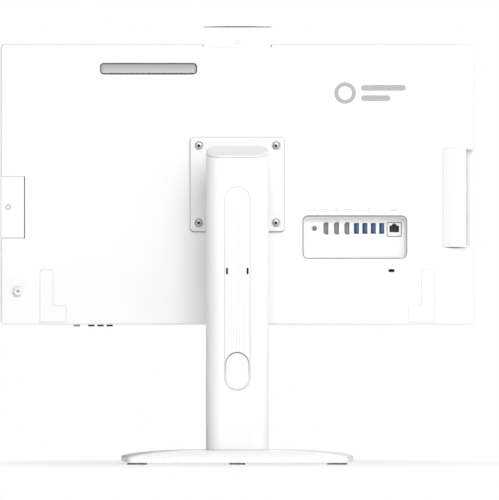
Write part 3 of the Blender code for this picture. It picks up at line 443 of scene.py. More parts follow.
def rounded(width, height, radius, centre=(0.0, 0.0), points=10):
    """A rectangle's outline with round corners, anticlockwise."""
    x, y = width / 2 - radius, height / 2 - radius
    outline = []
    for cx, cy, angle in ((x, y, 0), (-x, y, 90), (-x, -y, 180), (x, -y, 270)):
        outline += arc((centre[0] + cx, centre[1] + cy), radius, angle, angle + 90, points)
    return outline


def angles(end, steps):
    """Angles from nought to the end, in equal steps."""
    return [end * k / steps for k in range(steps + 1)]


def bevel(across, down, steps):
    """How far a rounded rim is drawn in, and how far it lies under the top, from the side to the top."""
    return [(across * (1 - math.cos(a)), down * (math.sin(a) - 1)) for a in angles(math.pi / 2, steps)]


AXES = {
    "X": Matrix(((0, 0, 1), (1, 0, 0), (0, 1, 0))).to_4x4(),
    "Y": Matrix(((1, 0, 0), (0, 0, -1), (0, 1, 0))).to_4x4(),
    "Z": Matrix.Identity(4),
}


def prism(name, loops, axis, start, end):
    """Flat outlines with holes, extruded along an axis."""
    curve = bpy.data.curves.new(name, "CURVE")
    curve.dimensions, curve.fill_mode, curve.extrude = "2D", "BOTH", abs(end - start) / 2
    for loop in loops:
        spline = curve.splines.new("POLY")
        spline.points.add(len(loop) - 1)
        for point, (x, y) in zip(spline.points, loop):
            point.co = (x, y, 0.0, 1.0)
        spline.use_cyclic_u = True
    holder = new_object(name, curve)
    mesh = plain_mesh(holder)
    bpy.data.objects.remove(holder)
    bpy.data.curves.remove(curve)
    offset = Vector((0.0, 0.0, 0.0))
    offset["XYZ".index(axis)] = (start + end) / 2
    bm = bmesh.new()
    bm.from_mesh(mesh)
    bmesh.ops.remove_doubles(bm, verts=bm.verts, dist=1e-6)
    bmesh.ops.dissolve_limit(bm, angle_limit=math.radians(0.1), verts=bm.verts, edges=bm.edges)
    bmesh.ops.transform(bm, matrix=Matrix.Translation(offset) @ AXES[axis], verts=bm.verts)
    return from_bmesh(name, bm)


def sheet(name, start, end, *loops):
    """Upright outlines with holes, extruded along Y."""
    return prism(name, loops, "Y", start, end)


def box(name, low, high):
    low, high = Vector(low), Vector(high)
    bm = bmesh.new()
    bmesh.ops.create_cube(bm, size=1.0)
    bmesh.ops.scale(bm, vec=high - low, verts=bm.verts)
    bmesh.ops.translate(bm, vec=(low + high) / 2, verts=bm.verts)
    return from_bmesh(name, bm)


def loft(name, rings):
    """A closed skin through rings of equally many points."""
    bm = bmesh.new()
    rows = [[bm.verts.new(point) for point in ring] for ring in rings]
    count = len(rings[0])
    for lower, upper in zip(rows, rows[1:]):
        for k in range(count):
            after = (k + 1) % count
            bm.faces.new((lower[k], lower[after], upper[after], upper[k]))
    bm.faces.new(rows[0][::-1])
    bm.faces.new(rows[-1])
    return from_bmesh(name, bm)


def turned(name, profile, place, axis, steps=64):
    """(radius, height) points, spun round the axis."""
    bm = bmesh.new()
    verts = [bm.verts.new((radius, 0.0, height)) for radius, height in profile]
    edges = [bm.edges.new(pair) for pair in zip(verts, verts[1:])]
    bmesh.ops.spin(
        bm, geom=verts + edges, cent=(0, 0, 0), axis=(0, 0, 1), angle=math.tau, steps=steps, use_merge=True
    )
    turn = Matrix.Rotation(-math.pi / 2, 4, "X") if axis == "Y" else Matrix()
    bmesh.ops.transform(bm, matrix=Matrix.Translation(place) @ turn, verts=bm.verts)
    return from_bmesh(name, bm)


def plain_mesh(obj):
    """The object's mesh with its modifiers applied."""
    bpy.context.view_layer.update()
    return bpy.data.meshes.new_from_object(obj.evaluated_get(bpy.context.evaluated_depsgraph_get()))


def applied(obj):
    mesh = plain_mesh(obj)
    obj.modifiers.clear()
    obj.data = mesh
    return obj


def cut(target, *tools):
    """Cuts the tools out of the target and removes them."""
    for tool in tools:
        modifier = target.modifiers.new("cut", "BOOLEAN")
        modifier.operation, modifier.object = "DIFFERENCE", tool
    applied(target)
    for tool in tools:
        bpy.data.objects.remove(tool)
    return target


def rounded_edges(obj, width, segments=2, angle=32):
    """Rounds every edge sharper than the angle."""
    if width > 0:
        bevel = obj.modifiers.new("rounded edges", "BEVEL")
        bevel.width, bevel.segments = width, segments
        bevel.limit_method, bevel.angle_limit = "ANGLE", math.radians(angle)
        applied(obj)
    return obj


def block(name, low, high, edge, segments=1):
    """A box with rounded edges."""
    return rounded_edges(box(name, low, high), edge, segments)


def merged(name, *objs):
    """Several loose pieces as one object."""
    bm = bmesh.new()
    for obj in objs:
        obj.data.transform(obj.matrix_world)
        bm.from_mesh(obj.data)
        bpy.data.objects.remove(obj)
    mesh = bpy.data.meshes.new(name)
    bm.to_mesh(mesh)
    bm.free()
    return new_object(name, mesh)


def done(obj, finish, body="display", nodes=(), angle=34):
    """Gives a piece its finish and shading, and the body it rides on."""
    mesh = obj.data
    mesh.transform(obj.matrix_world)
    obj.matrix_world = Matrix.Identity(4)
    mesh.materials.clear()
    mesh.materials.append(FINISHES[finish])
    mesh.shade_smooth()
    mesh.set_sharp_from_angle(angle=math.radians(angle))
    even = obj.modifiers.new("even shading", "WEIGHTED_NORMAL")
    even.weight, even.keep_sharp = 90, True
    applied(obj)
    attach(obj, body)
    if nodes:
        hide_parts(*nodes)


def copy_of(node, name):
    """The frame's own solid as a clean mesh: merged, with its flat faces whole."""
    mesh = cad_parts[node].data.copy()
    if "custom_normal" in mesh.attributes:
        mesh.attributes.remove(mesh.attributes["custom_normal"])
    bm = bmesh.new()
    bm.from_mesh(mesh)
    for layer in list(bm.loops.layers.uv):
        bm.loops.layers.uv.remove(layer)
    bmesh.ops.remove_doubles(bm, verts=bm.verts, dist=2e-6)
    bmesh.ops.dissolve_limit(bm, angle_limit=math.radians(0.4), verts=bm.verts, edges=bm.edges)
    return from_bmesh(name, bm, 2e-6)


def refined(node, finish, body, edge, segments=2):
    """A frame solid with rounded edges and its finish."""
    done(rounded_edges(copy_of(node, node + "_piece"), edge, segments), finish, body, (node,))


# ---------------------------------------------------------------- geometry nodes
class Growth:
    """A geometry-nodes tree with named inputs, grown once into a plain mesh."""

    def __init__(self, name):
        self.tree = bpy.data.node_groups.new(name, "GeometryNodeTree")
        self.tree.interface.new_socket("Geometry", in_out="OUTPUT", socket_type="NodeSocketGeometry")
        self.values = {}
        self.entry = self.tree.nodes.new("NodeGroupInput")
        self.name = name

    def input(self, label, kind, value):
        socket = self.tree.interface.new_socket(label, in_out="INPUT", socket_type="NodeSocket" + kind)
        self.values[socket.identifier] = value
        return self.entry.outputs[label]

    def node(self, kind, settings=None, sockets=None, output=0):
        made = self.tree.nodes.new(kind)
        for key, value in (settings or {}).items():
            setattr(made, key, value)
        for key, value in (sockets or {}).items():
            if isinstance(value, bpy.types.NodeSocket):
                self.tree.links.new(value, made.inputs[key])
            else:
                made.inputs[key].default_value = value
        return made.outputs[output]

    def copies(self, piece, points, **placing):
        """A copy of the piece on every point."""
        source = self.input("Piece", "Object", piece)
        shape = self.node("GeometryNodeObjectInfo", None, {"Object": source}, output="Geometry")
        placing |= {"Points": points, "Instance": shape}
        return self.node("GeometryNodeInstanceOnPoints", None, placing)

    def grow(self, geometry, finish, *spent):
        """Ends the tree, runs it, removes the loose pieces that it used and returns the plain object."""
        real = self.node("GeometryNodeRealizeInstances", None, {"Geometry": geometry})
        coloured = self.node("GeometryNodeSetMaterial", None, {"Geometry": real, "Material": FINISHES[finish]})
        leave = self.tree.nodes.new("NodeGroupOutput")
        self.tree.links.new(coloured, leave.inputs["Geometry"])
        obj = new_object(self.name, bpy.data.meshes.new(self.name))
        modifier = obj.modifiers.new(self.name, "NODES")
        modifier.node_group = self.tree
        for identifier, value in self.values.items():
            modifier[identifier] = value
        applied(obj)
        for piece in spent:
            bpy.data.objects.remove(piece)
        return obj


def in_line(name, piece, finish, count, step, first):
    """One small piece repeated along a straight line in any direction."""
    tree = Growth(name)
    number = tree.input("Count", "Int", count)
    start, offset = tree.input("Start", "Vector", first), tree.input("Step", "Vector", step)
    places = {"Count": number, "Start Location": start, "Offset": offset}
    line = tree.node("GeometryNodeMeshLine", {"mode": "OFFSET"}, places)
    return tree.grow(tree.copies(piece, line), finish, piece)


def in_row(name, piece, finish, count, pitch, place):
    """One small piece repeated along X, evenly to both sides of the place."""
    x, y, z = place
    return in_line(name, piece, finish, count, (pitch, 0.0, 0.0), (x - pitch * (count - 1) / 2, y, z))


def at_places(name, piece, finish, places):
    """One small piece at each of a few places, kept as a point cloud in the tree."""
    holder = new_object(name + "_places", bpy.data.meshes.new(name + "_places"))
    holder.data.from_pydata(places, [], [])
    tree = Growth(name)
    spots = tree.input("Places", "Object", holder)
    points = tree.node("GeometryNodeObjectInfo", None, {"Object": spots}, output="Geometry")
    return tree.grow(tree.copies(piece, points), finish, piece, holder)


def ringed(name, piece, finish, count, radius, place):
    """One small piece repeated round an axis along Y, turned to face outwards."""
    tree = Growth(name)
    number, reach = tree.input("Count", "Int", count), tree.input("Radius", "Float", radius)
    ring = tree.node("GeometryNodeMeshCircle", None, {"Vertices": number, "Radius": reach})
    index = tree.node("GeometryNodeInputIndex")
    turn = tree.node("ShaderNodeMath", {"operation": "MULTIPLY"}, {0: index, 1: math.tau / count})
    angles = tree.node("ShaderNodeCombineXYZ", None, {"Z": turn})
    placing = {"Translation": place, "Rotation": (-math.pi / 2, 0.0, 0.0)}
    copies = tree.copies(piece, ring, Rotation=angles)
    upright = tree.node("GeometryNodeTransform", None, {"Geometry": copies, **placing})
    return tree.grow(upright, finish, piece)


# ---------------------------------------------------------------- stand
def base_outline(depth, rear_half, front_half, inset):
    """The base seen from above, drawn in by inset: tight corners behind, wide ones in front."""
    rear, front = depth / 2 - inset, -depth / 2 + inset
    rear_r, front_r = max(0.009 - inset, 0.002), max(0.030 - inset, 0.004)
    wide_rear, wide_front = rear_half - inset, front_half - inset
    right = arc((wide_rear - rear_r, rear - rear_r), rear_r, 90, 0, 14)
    right += arc((wide_front - front_r, front + front_r), front_r, 0, -90, 14)
    return right + [(-x, y) for x, y in reversed(right)]


class PC_OT_base(bpy.types.Operator):
    """Swelling base plate with its rubber pads and the bolt that the column turns on."""

    bl_idname = "pc.base"
    bl_label = "Base"

    def execute(self, context):
        low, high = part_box("base_plate")
        depth, front_half = high.y - low.y, high.x
        rear_half, edge_top = front_half - 0.008, low.z + 0.007
        seat, seat_y, steps = 0.36, 0.053, 30  # the swell ends as a smaller outline, moved back to the column

        def ring(inset, z, scale=1.0, shift=0.0):
            outline = base_outline(depth, rear_half, front_half, inset)
            return [(x * scale, shift + y * scale, z) for x, y in outline]

        rings = [ring(0.001 - r, low.z + z) for r, z in arc((0.0, 0.001), 0.001, -90, 0, 5)]
        rings += [ring(0.0014 - r, edge_top - 0.0014 + z) for r, z in arc((0.0, 0.0), 0.0014, 8, 80, 6)]
        for k in range(1, steps + 1):
            scale = 1 - (1 - seat) * k / steps
            rise = math.sin(math.pi / 2 * k / steps) ** 0.7
            shift = seat_y * (1 - scale) / (1 - seat)
            rings.append(ring(0.0012, edge_top + (high.z - edge_top) * rise, scale, shift))
        axis = (0, middle("column_shell")[1], 0)
        pocket = turned("pocket", [(0.0, 0.0086), (0.021, 0.0086), (0.021, 0.0), (0.0, 0.0)], axis, "Z")
        bore = turned("bore", [(0.0, 0.03), (0.0146, 0.03), (0.0146, 0.001), (0.0, 0.001)], axis, "Z")
        base = cut(loft("base_piece", rings), pocket, bore)
        done(base, "base_white", "base", ["base_plate"], angle=40)
        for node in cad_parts:
            if node.startswith("foot_pad"):
                refined(node, "pad_grey", "base", 0.0005, 3)
        refined("swivel_bolt", "steel", "column", 0.0003)
        return {"FINISHED"}


def stadium(width, depth, centre):
    return rounded(width, depth, depth / 2 - 1e-5, centre, 40)


def upright_stadium(width, bottom, top):
    return rounded(width, top - bottom, width / 2 - 1e-5, (0, (top + bottom) / 2), 26)


class PC_OT_column(bpy.types.Operator):
    """Oval column: its shell, slanted cap, ribbed inlay and the grommet of its cable hole."""

    bl_idname = "pc.column"
    bl_label = "Column"

    def execute(self, context):
        sizes = context.scene.pc_sizes
        low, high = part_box("column_shell")
        cap_low, cap_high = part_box("column_cap")
        inlay_low, inlay_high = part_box("column_inlay")
        hole_low, hole_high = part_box("cable_grommet")
        bottom, top = inlay_low.z, inlay_high.z
        width, depth = high.x - low.x, high.y - low.y
        centre = (0.0, (low.y + high.y) / 2)
        thick, gap = 0.004, 0.0003
        top_rear, top_front = cap_low.z + thick, cap_high.z

        def ring(inset, drop):
            """An oval drawn in by the inset and moved by the drop from the slanted top."""
            oval = stadium(width - 2 * inset, depth - 2 * inset, centre)
            return [(x, y, top_rear + (top_front - top_rear) * (high.y - y) / depth + drop) for x, y in oval]

        foot = [(x, y, low.z) for x, y in stadium(width, depth, centre)]
        shell = loft("column_piece", [foot, ring(0.0, -thick - gap)])
        bore = prism("bore", [stadium(width - 0.006, depth - 0.006, centre)], "Z", 0.0, 0.46)
        lift_slot = sheet("slot", 0.0, centre[1], rounded(0.039, 0.1405, 0.003, (0.0, 0.31075)))
        hole_width = hole_high.x - hole_low.x + 2 * gap
        hole_outline = upright_stadium(hole_width, hole_low.z - gap, hole_high.z + gap)
        hole = sheet("hole", 0.0, 0.13, hole_outline)
        groove_width = inlay_high.x - inlay_low.x + 2 * gap
        groove_outline = upright_stadium(groove_width, bottom - gap, top + gap)
        groove = sheet("groove", high.y - 0.0017, 0.13, groove_outline)
        cut(shell, bore, lift_slot, groove, hole)
        done(rounded_edges(shell, sizes.edge, 2, 40), "white_shell", "column", ["column_shell"], angle=40)

        rings = [(0.0, -thick), (0.0, -0.0028), (0.0004, -0.0028), (0.0004, -0.0021), (0.0, -0.0021)]
        rings += [*bevel(0.0026, 0.0017, 8), (0.0027, -0.0004), (0.0031, -0.0004), (0.0033, 0.0)]
        cap = loft("column_cap_piece", [ring(inset, drop) for inset, drop in rings])
        done(cap, "white_inlay", "column", ["column_cap"])
        gasket = loft("cap_gasket", [ring(0.0005, -thick - below) for below in (0.00025, 0.00005)])
        done(gasket, "trim_grey", "column")
        line = loft("cap_line", [ring(0.00035, drop) for drop in (-0.0027, -0.0022)])
        done(line, "trim_grey", "column")

        slits = [rounded(0.0026, 0.0084, 0.0008, (side * 0.0133, 0.2497), 5) for side in (-1, 1)]
        plate_outline = upright_stadium(groove_width - 4 * gap, bottom + gap, top - gap)
        plate = sheet("column_inlay_piece", inlay_low.y, inlay_high.y, plate_outline, hole_outline, *slits)
        done(rounded_edges(plate, 0.00015, 1, 40), "white_inlay", "column", ["column_inlay"])
        seam = sheet(
            "inlay_seam", inlay_low.y, inlay_high.y - 0.0003,
            upright_stadium(groove_width - 0.0001, bottom - gap, top + gap),
            upright_stadium(groove_width - 5 * gap, bottom + 1.5 * gap, top - 1.5 * gap),
        )
        done(seam, "grey_plastic", "column")
        ribs = self.ribs(sizes, inlay_high, hole_high.z, groove_width)
        done(ribs, "white_inlay", "column")
        wells = sheet("inlay_slit_wells", inlay_low.y - 0.0011, inlay_low.y - 0.0001, *slits)
        done(wells, "dark_well", "column")
        # The grommet carries painted shade, darker towards its top
        refined("cable_grommet", "grommet_painted_shade", "column", 0.0003, 2)
        return {"FINISHED"}

    @staticmethod
    def ribs(sizes, high, hole_top, groove_width):
        """Ribs whose ends follow the round top of the inlay and the round top of the hole."""
        half = 0.0009
        profile = [(half * math.cos(a), sizes.rib_height * math.sin(a)) for a in angles(math.pi, 8)]
        bar = prism("rib", [profile], "Z", -0.5, 0.5)
        tree = Growth("inlay_ribs")
        count = tree.input("Count", "Int", sizes.rib_count)
        step = tree.input("Pitch", "Float", 0.0036)
        reach = tree.input("Top radius", "Float", groove_width / 2 - 0.0022)
        inner = tree.input("Hole radius", "Float", groove_width / 2 + 0.0006)

        def maths(operation, a, b=0.0):
            return tree.node("ShaderNodeMath", {"operation": operation}, {0: a, 1: b})

        def vector(**axes):
            return tree.node("ShaderNodeCombineXYZ", None, axes)

        first = maths("MULTIPLY", maths("MULTIPLY", maths("SUBTRACT", count, 1.0), -0.5), step)
        places = {"Count": count, "Start Location": vector(X=first, Y=high.y), "Offset": vector(X=step)}
        line = tree.node("GeometryNodeMeshLine", {"mode": "OFFSET"}, places)
        x = tree.node("ShaderNodeSeparateXYZ", None, {0: tree.node("GeometryNodeInputPosition")})

        def square(value):
            return maths("MULTIPLY", value, value)

        def arc_height(radius):
            return maths("SQRT", maths("SUBTRACT", square(radius), square(x)))

        top = maths("ADD", arc_height(reach), high.z - groove_width / 2)
        bottom = maths("ADD", arc_height(inner), hole_top - (groove_width - 0.0016) / 2)
        halfway = vector(Z=maths("MULTIPLY", maths("ADD", top, bottom), 0.5))
        placed = tree.node("GeometryNodeSetPosition", None, {"Geometry": line, "Offset": halfway})
        scale = vector(X=1.0, Y=1.0, Z=maths("SUBTRACT", top, bottom))
        return tree.grow(tree.copies(bar, placed, Scale=scale), "white_inlay", bar)


class PC_OT_mechanism(bpy.types.Operator):
    """What lifts, tilts and turns: the rails, carriage, spring drum, tilt pin and bracket."""

    bl_idname = "pc.mechanism"
    bl_label = "Lift and tilt mechanism"

    def execute(self, context):
        refined("column_foot", "aluminium", "column", 0.0004)
        refined("rail_left", "steel", "column", 0.0004)
        refined("rail_right", "steel", "column", 0.0004)
        refined("carriage", "aluminium", "carriage", 0.0003, 1)
        refined("tilt_pin", "nickel", "carriage", 0.0005)
        refined("lift_spring", "steel", "spring_drum", 0.0002)
        refined("tilt_bracket", "steel", "display", 0.0004, 1)
        return {"FINISHED"}


class PC_OT_mount(bpy.types.Operator):
    """Mount plate on the display's back, with its four countersunk screws."""

    bl_idname = "pc.mount"
    bl_label = "Mount plate and screws"

    def execute(self, context):
        low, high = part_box("vesa_plate")
        (_, z), size, _ = seen("vesa_plate")
        half_pitch = 0.05
        rings = []
        for inset, drop in [(0.0, low.y - high.y), *bevel(0.0012, 0.0012, 6)]:
            outline = rounded(size - 2 * inset, size - 2 * inset, 0.005 - inset, (0, z))
            rings.append([(x, high.y + drop, height) for x, height in outline])
        plate = loft("mount_plate_piece", rings)
        # A gasket under the plate, drawn lower and wider at the bottom as painted shadow under the plate
        seat = rounded(size + 0.0010, size + 0.0014, 0.0055, (0, z - 0.0003))
        within = rounded(size - 0.006, size - 0.006, 0.004, (0, z))
        pad = sheet("mount_gasket", low.y - 0.00025, low.y + 0.0003, seat, within)
        done(pad, "trim_grey")
        places = [(sx * half_pitch, high.y, z + sz * half_pitch) for sx in (1, -1) for sz in (1, -1)]
        profile = [(0.0, 0.001), (0.0062, 0.001), (0.0062, 0.0), (0.0057, -0.0006), (0.0057, -0.003)]
        profile += [(0.0024, -0.003), (0.0024, -0.006), (0.0, -0.006)]
        sinks = [turned(f"sink_{k}", profile, place, "Y", 48) for k, place in enumerate(places)]
        done(cut(plate, *sinks), "plate_white", nodes=["vesa_plate"])

        profile = [(0.0, -0.0006), (0.0034, -0.0006), (0.0042, -0.0010), (0.0045, -0.0016), (0.0045, -0.0027)]
        profile += [(0.0019, -0.0027), (0.0019, -0.0222), (0.0012, -0.0236), (0.0, -0.0236)]
        socket = sheet("socket", -0.0022, 0.001, circle((0, 0), 0.0021, 6))
        screw = cut(turned("screw", profile, (0, 0, 0), "Y", 40), socket)
        screws = at_places("mount_screws", screw, "screw_steel", places)
        done(screws, "screw_steel", nodes=[f"vesa_screw_{k}" for k in range(1, 5)])
        # Painted shade: a dark plug at the bottom of each screw's socket
        well = sheet("well", -0.00219, -0.0016, circle((0, 0), 0.00195, 6))
        done(at_places("mount_screw_sockets", well, "dark_well", places), "dark_well")
        return {"FINISHED"}


# ---------------------------------------------------------------- display
class PC_OT_shell(bpy.types.Operator):
    """The display's rear cover with its flush corner covers, lock slot and front frame."""

    bl_idname = "pc.shell"
    bl_label = "Display shell"

    def execute(self, context):
        refined("rear_cover", "white_shell", "display", 0.0003, 2)
        refined("front_bezel", "white_shell", "display", 0.0003, 2)
        for side in ("left", "right"):
            refined("lower_cover_" + side, "white_shell", "display", 0.0002, 1)
        refined("chassis", "steel", "display", 0.0)
        cover_low, cover_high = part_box("rear_cover")
        back = cover_high.y
        lock, ring = (-0.2, 0.2502), (-0.1398, 0.4805)
        surround = rounded(0.0080, 0.0040, 0.0018, lock, 8), rounded(0.0066, 0.0026, 0.0012, lock, 8)
        done(sheet("lock_surround", back - 0.0003, back + 0.00006, *surround), "black_plastic")
        mouth, within = rounded(0.0090, 0.0050, 0.0024, lock, 8), rounded(0.0070, 0.0030, 0.0014, lock, 8)
        done(sheet("lock_ring", back - 0.0031, back - 0.0026, mouth, within), "steel")
        done(sheet("lock_well", back - 0.0060, back - 0.0050, mouth), "dark_well")
        badge = [
            circle(ring, 0.0140, 64), circle(ring, 0.0088, 64),
            rounded(0.0580, 0.0074, 0.0036, (-0.1895, 0.4872)),
            rounded(0.0380, 0.0074, 0.0036, (-0.1795, 0.4738)),
        ]
        done(sheet("plain_ring_and_bars", back - 0.0001, back + 0.00012, *badge), "badge_grey")
        (x, z), wide, tall = seen("port_bay")
        # Painted shade: a grey ring round the port bay's mouth, widest at the top where its wall is shaded
        outer = rounded(wide, tall, 0.0068, (x, z), 14)
        inner = rounded(wide - 0.0022, tall - 0.0026, 0.0058, (x, z - 0.0004), 14)
        done(sheet("port_bay_lip", back - 0.0006, back + 0.00004, outer, inner), "painted_shade_grey")
        pitch = context.scene.pc_sizes.hole_pitch
        for name, x in (("speaker_slots_right", -0.2575), ("speaker_slots_left", 0.2575)):
            hole = box("slot", (-0.0005, -0.0030, -0.00006), (0.0005, 0.0030, 0.00006))
            holes = in_row(name, hole, "dark_well", int(0.052 / pitch), pitch, (x, -0.0270, cover_low.z))
            done(holes, "dark_well")
        return {"FINISHED"}


class PC_OT_vent(bpy.types.Operator):
    """The warm-air vent: fine upright slats over a screen, with short bridges under them."""

    bl_idname = "pc.vent"
    bl_label = "Vent"

    def execute(self, context):
        sizes = context.scene.pc_sizes
        low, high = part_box("vent_grille")
        (x, z), wide, tall = seen("vent_grille")
        outer = rounded(wide, tall, 0.0049, (x, z), 12)
        inner = rounded(wide - 0.0026, tall - 0.0024, 0.0041, (x, z - 0.0004), 12)
        # The rim is a real frame; its dark colour, and its extra width at the top, are painted shade of the
        # recess walls
        rim = sheet("vent_frame", low.y, high.y + 0.0004, outer, inner)
        done(rounded_edges(rim, 0.0002, 1), "vent_rim_painted_shade", nodes=["vent_grille"])
        screen = rounded(wide - 0.0012, tall - 0.0012, 0.0043, (x, z), 12)
        done(sheet("vent_screen", low.y - 0.0009, low.y, screen), "grey_plastic")
        slat = sheet("slat", -0.0007, 0.0007, rounded(0.00132, tall - 0.0034, 0.0004, points=3))
        count = int((wide - 0.0052) / sizes.slat_pitch)
        place = (x, high.y - 0.0005, z + 0.0001)
        # The slats carry painted shade, darker towards the top
        done(in_row("vent_slats", slat, "vent_grey_painted_shade", count, sizes.slat_pitch, place), "vent_grey_painted_shade")
        gap = sheet("gap", -0.0001, 0.0001, rounded(sizes.bridge_pitch - 0.0013, 0.0012, 0.0004, points=4))
        count = int((wide - 0.006) / sizes.bridge_pitch)
        place = (x, high.y + 0.0004, low.z + 0.0006)
        done(in_row("vent_bridge_gaps", gap, "dark_well", count, sizes.bridge_pitch, place), "dark_well")
        return {"FINISHED"}


class PC_OT_rear_ports(bpy.types.Operator):
    """The port bay with its row of sockets: shells, tongues and contacts."""

    bl_idname = "pc.rear_ports"
    bl_label = "Rear ports"

    def execute(self, context):
        refined("port_bay", "white_shell", "display", 0.0004, 2)
        self.video()
        self.usb()
        self.network()
        self.power()
        self.marks()
        return {"FINISHED"}

    @staticmethod
    def spread(names):
        """The count, step and start of a row of equal nodes, and the first one's size."""
        low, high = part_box(names[0])
        first, last = (sum(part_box(name), Vector()) / 2 for name in (names[0], names[-1]))
        step = (last - first) / (len(names) - 1)
        return (len(names), tuple(step), (first.x, high.y, first.z)), high - low

    def video(self):
        names = [f"video_port_{k}" for k in (1, 2, 3)]
        row, size = self.spread(names)
        depth = size.y

        def d_shape(inset):
            w, h, corner = size.x / 2 - inset, size.z / 2 - inset, 0.0022 - inset * 0.4
            return [(-w, -h), (w - corner, -h), (w, -h + corner), (w, h - corner), (w - corner, h), (-w, h)]

        shell = rounded_edges(sheet("video_shell", -depth, 0.0, d_shape(0.0), d_shape(0.0004)), 0.0001, 1)
        done(in_line("video_shells", shell, "port_metal", *row), "port_metal", nodes=names)
        back = sheet("video_back", -depth, -0.0022, d_shape(0.0004))
        done(in_line("video_backs", back, "trim_grey", *row), "trim_grey")
        tongue = block("tongue", (-0.0009, -depth + 0.001, -0.0056), (0.0003, -0.0010, 0.0056), 0.0002, 2)
        done(in_line("video_tongues", tongue, "socket_grey", *row), "socket_grey")

    def usb(self):
        names = [f"usb_port_{k}" for k in (1, 2, 3, 4)]
        row, (wide, depth, tall) = self.spread(names)
        inner = rounded(wide - 0.0006, tall - 0.0006, 0.0004, points=5)
        shell = sheet("usb_shell", -depth, 0.0, rounded(wide, tall, 0.0006, points=5), inner)
        rounded_edges(shell, 0.00008, 1)
        done(in_line("usb_shells", shell, "port_metal", *row), "port_metal", nodes=names)
        back = sheet("usb_back", -depth, -0.0034, inner)
        done(in_line("usb_backs", back, "port_navy", *row), "port_navy")
        tongue = block("tongue", (-0.0024, -depth + 0.003, -0.0054), (0.0009, -0.0008, 0.0054), 0.00025, 2)
        done(in_line("usb_tongues", tongue, "port_blue", *row), "port_blue")
        pin = box("pin", (0.0009, -depth + 0.004, -0.0005), (0.00102, -0.0022, 0.0005))
        pins = in_line("pins", pin, "gold", 4, (0, 0, 0.0024), (0, 0, -0.0036))
        done(in_line("usb_contacts", pins, "gold", *row), "gold")

    @staticmethod
    def network():
        low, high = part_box("network_port")
        (x, z), wide, tall = seen("network_port")
        bottom, half = z - 0.0036, 0.0062
        right = [(half, 0.0086), (0.0032, 0.0086), (0.0032, 0.0102), (0.0016, 0.0102), (0.0016, 0.0114)]
        notched = [(x - half, bottom), (x + half, bottom), *((x + w, bottom + h) for w, h in right)]
        notched += [(x - w, bottom + h) for w, h in reversed(right)]
        outer = rounded(wide, tall, 0.0010, (x, z), 5)
        mouth = rounded(wide - 0.0016, tall - 0.0016, 0.0006, (x, z), 5)
        shield = sheet("network_shield", low.y, high.y, outer, mouth)
        done(rounded_edges(shield, 0.0001, 1), "port_metal", nodes=["network_port"])
        filled = rounded(wide - 0.0010, tall - 0.0010, 0.0008, (x, z), 5)
        face = sheet("network_face", low.y + 0.0012, high.y - 0.0002, filled, notched)
        done(rounded_edges(face, 0.0001, 1), "port_white")
        done(sheet("network_back", low.y, low.y + 0.0011, filled), "black_plastic")
        start = (x - half + 0.0002, low.y + 0.0012, bottom + 0.0001)
        end = (x + half - 0.0002, high.y - 0.0012, bottom + 0.0005)
        done(box("network_floor", start, end), "black_plastic")
        pin = block("pin", (-0.00022, low.y + 0.0015, 0.0), (0.00022, high.y - 0.0022, 0.0003), 0.0001)
        pins = in_line("network_contacts", pin, "gold", 8, (0.00102, 0, 0), (x - 0.00357, 0, bottom + 0.0006))
        done(pins, "gold")
        for name, side in (("network_lamp_left", 1), ("network_lamp_right", -1)):
            window = rounded(0.0030, 0.0016, 0.0003, (x + side * 0.0062, low.z + 0.0022), 4)
            done(sheet(name, high.y - 0.0006, high.y - 0.0001, window), "lamp_white")

    @staticmethod
    def power():
        low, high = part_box("power_jack")
        (x, z), wide, _ = seen("power_jack")
        r, foot, place = wide / 2, low.y - high.y, (x, high.y, z)
        wall, mouth, floor, pin_foot = r - 0.0009, r - 0.0019, foot + 0.001, foot + 0.0012
        profile = [(wall, 0.0), (r - 0.0003, 0.0), (r, -0.0003), (r, foot), (wall, foot), (wall, 0.0)]
        sleeve = turned("jack_sleeve", profile, place, "Y", 48)
        done(sleeve, "nickel", nodes=["power_jack"])
        profile = [(mouth, -0.0008), (r - 0.0010, -0.0008), (r - 0.0010, foot), (0.0, foot)]
        profile += [(0.0, floor), (mouth, floor), (mouth, -0.0008)]
        done(turned("jack_liner", profile, place, "Y", 40), "socket_grey")
        profile = [(0.0, -0.0012), (0.0004, -0.0013), (0.0006, -0.0017), (0.0006, pin_foot), (0.0, pin_foot)]
        done(turned("jack_pin", profile, place, "Y", 20), "nickel")

    @staticmethod
    def marks():
        """Plain dashes printed over the sockets."""
        back, bay_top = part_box("rear_cover")[1].y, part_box("port_bay")[1].z
        loops = []

        def dash(x, above, wide, tall=0.0009):
            loops.append(rounded(wide, tall, min(wide, tall) * 0.42, (x, bay_top + above), 4))

        dash(middle("power_jack")[0], 0.0076, 0.0040)
        for k in (1, 2, 3):
            x = middle(f"video_port_{k}")[0]
            dash(x, 0.0080, 0.0062)
            dash(x, 0.0056, 0.0024)
        x = (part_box("usb_port_1")[1].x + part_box("usb_port_4")[0].x) / 2
        for side in (-1, 1):
            dash(x + side * 0.0118, 0.0078, 0.0110, 0.0005)
            dash(x + side * 0.0175, 0.0072, 0.0005, 0.0016)
        dash(x, 0.0084, 0.0052)
        dash(x, 0.0060, 0.0034)
        x = middle("network_port")[0]
        dash(x, 0.0078, 0.0080, 0.0005)
        for side in (-1, 0, 1):
            dash(x + side * 0.0033, 0.0066, 0.0018, 0.0014)
        done(sheet("printed_port_marks", back - 0.0001, back + 0.00005, *loops), "printed_grey")


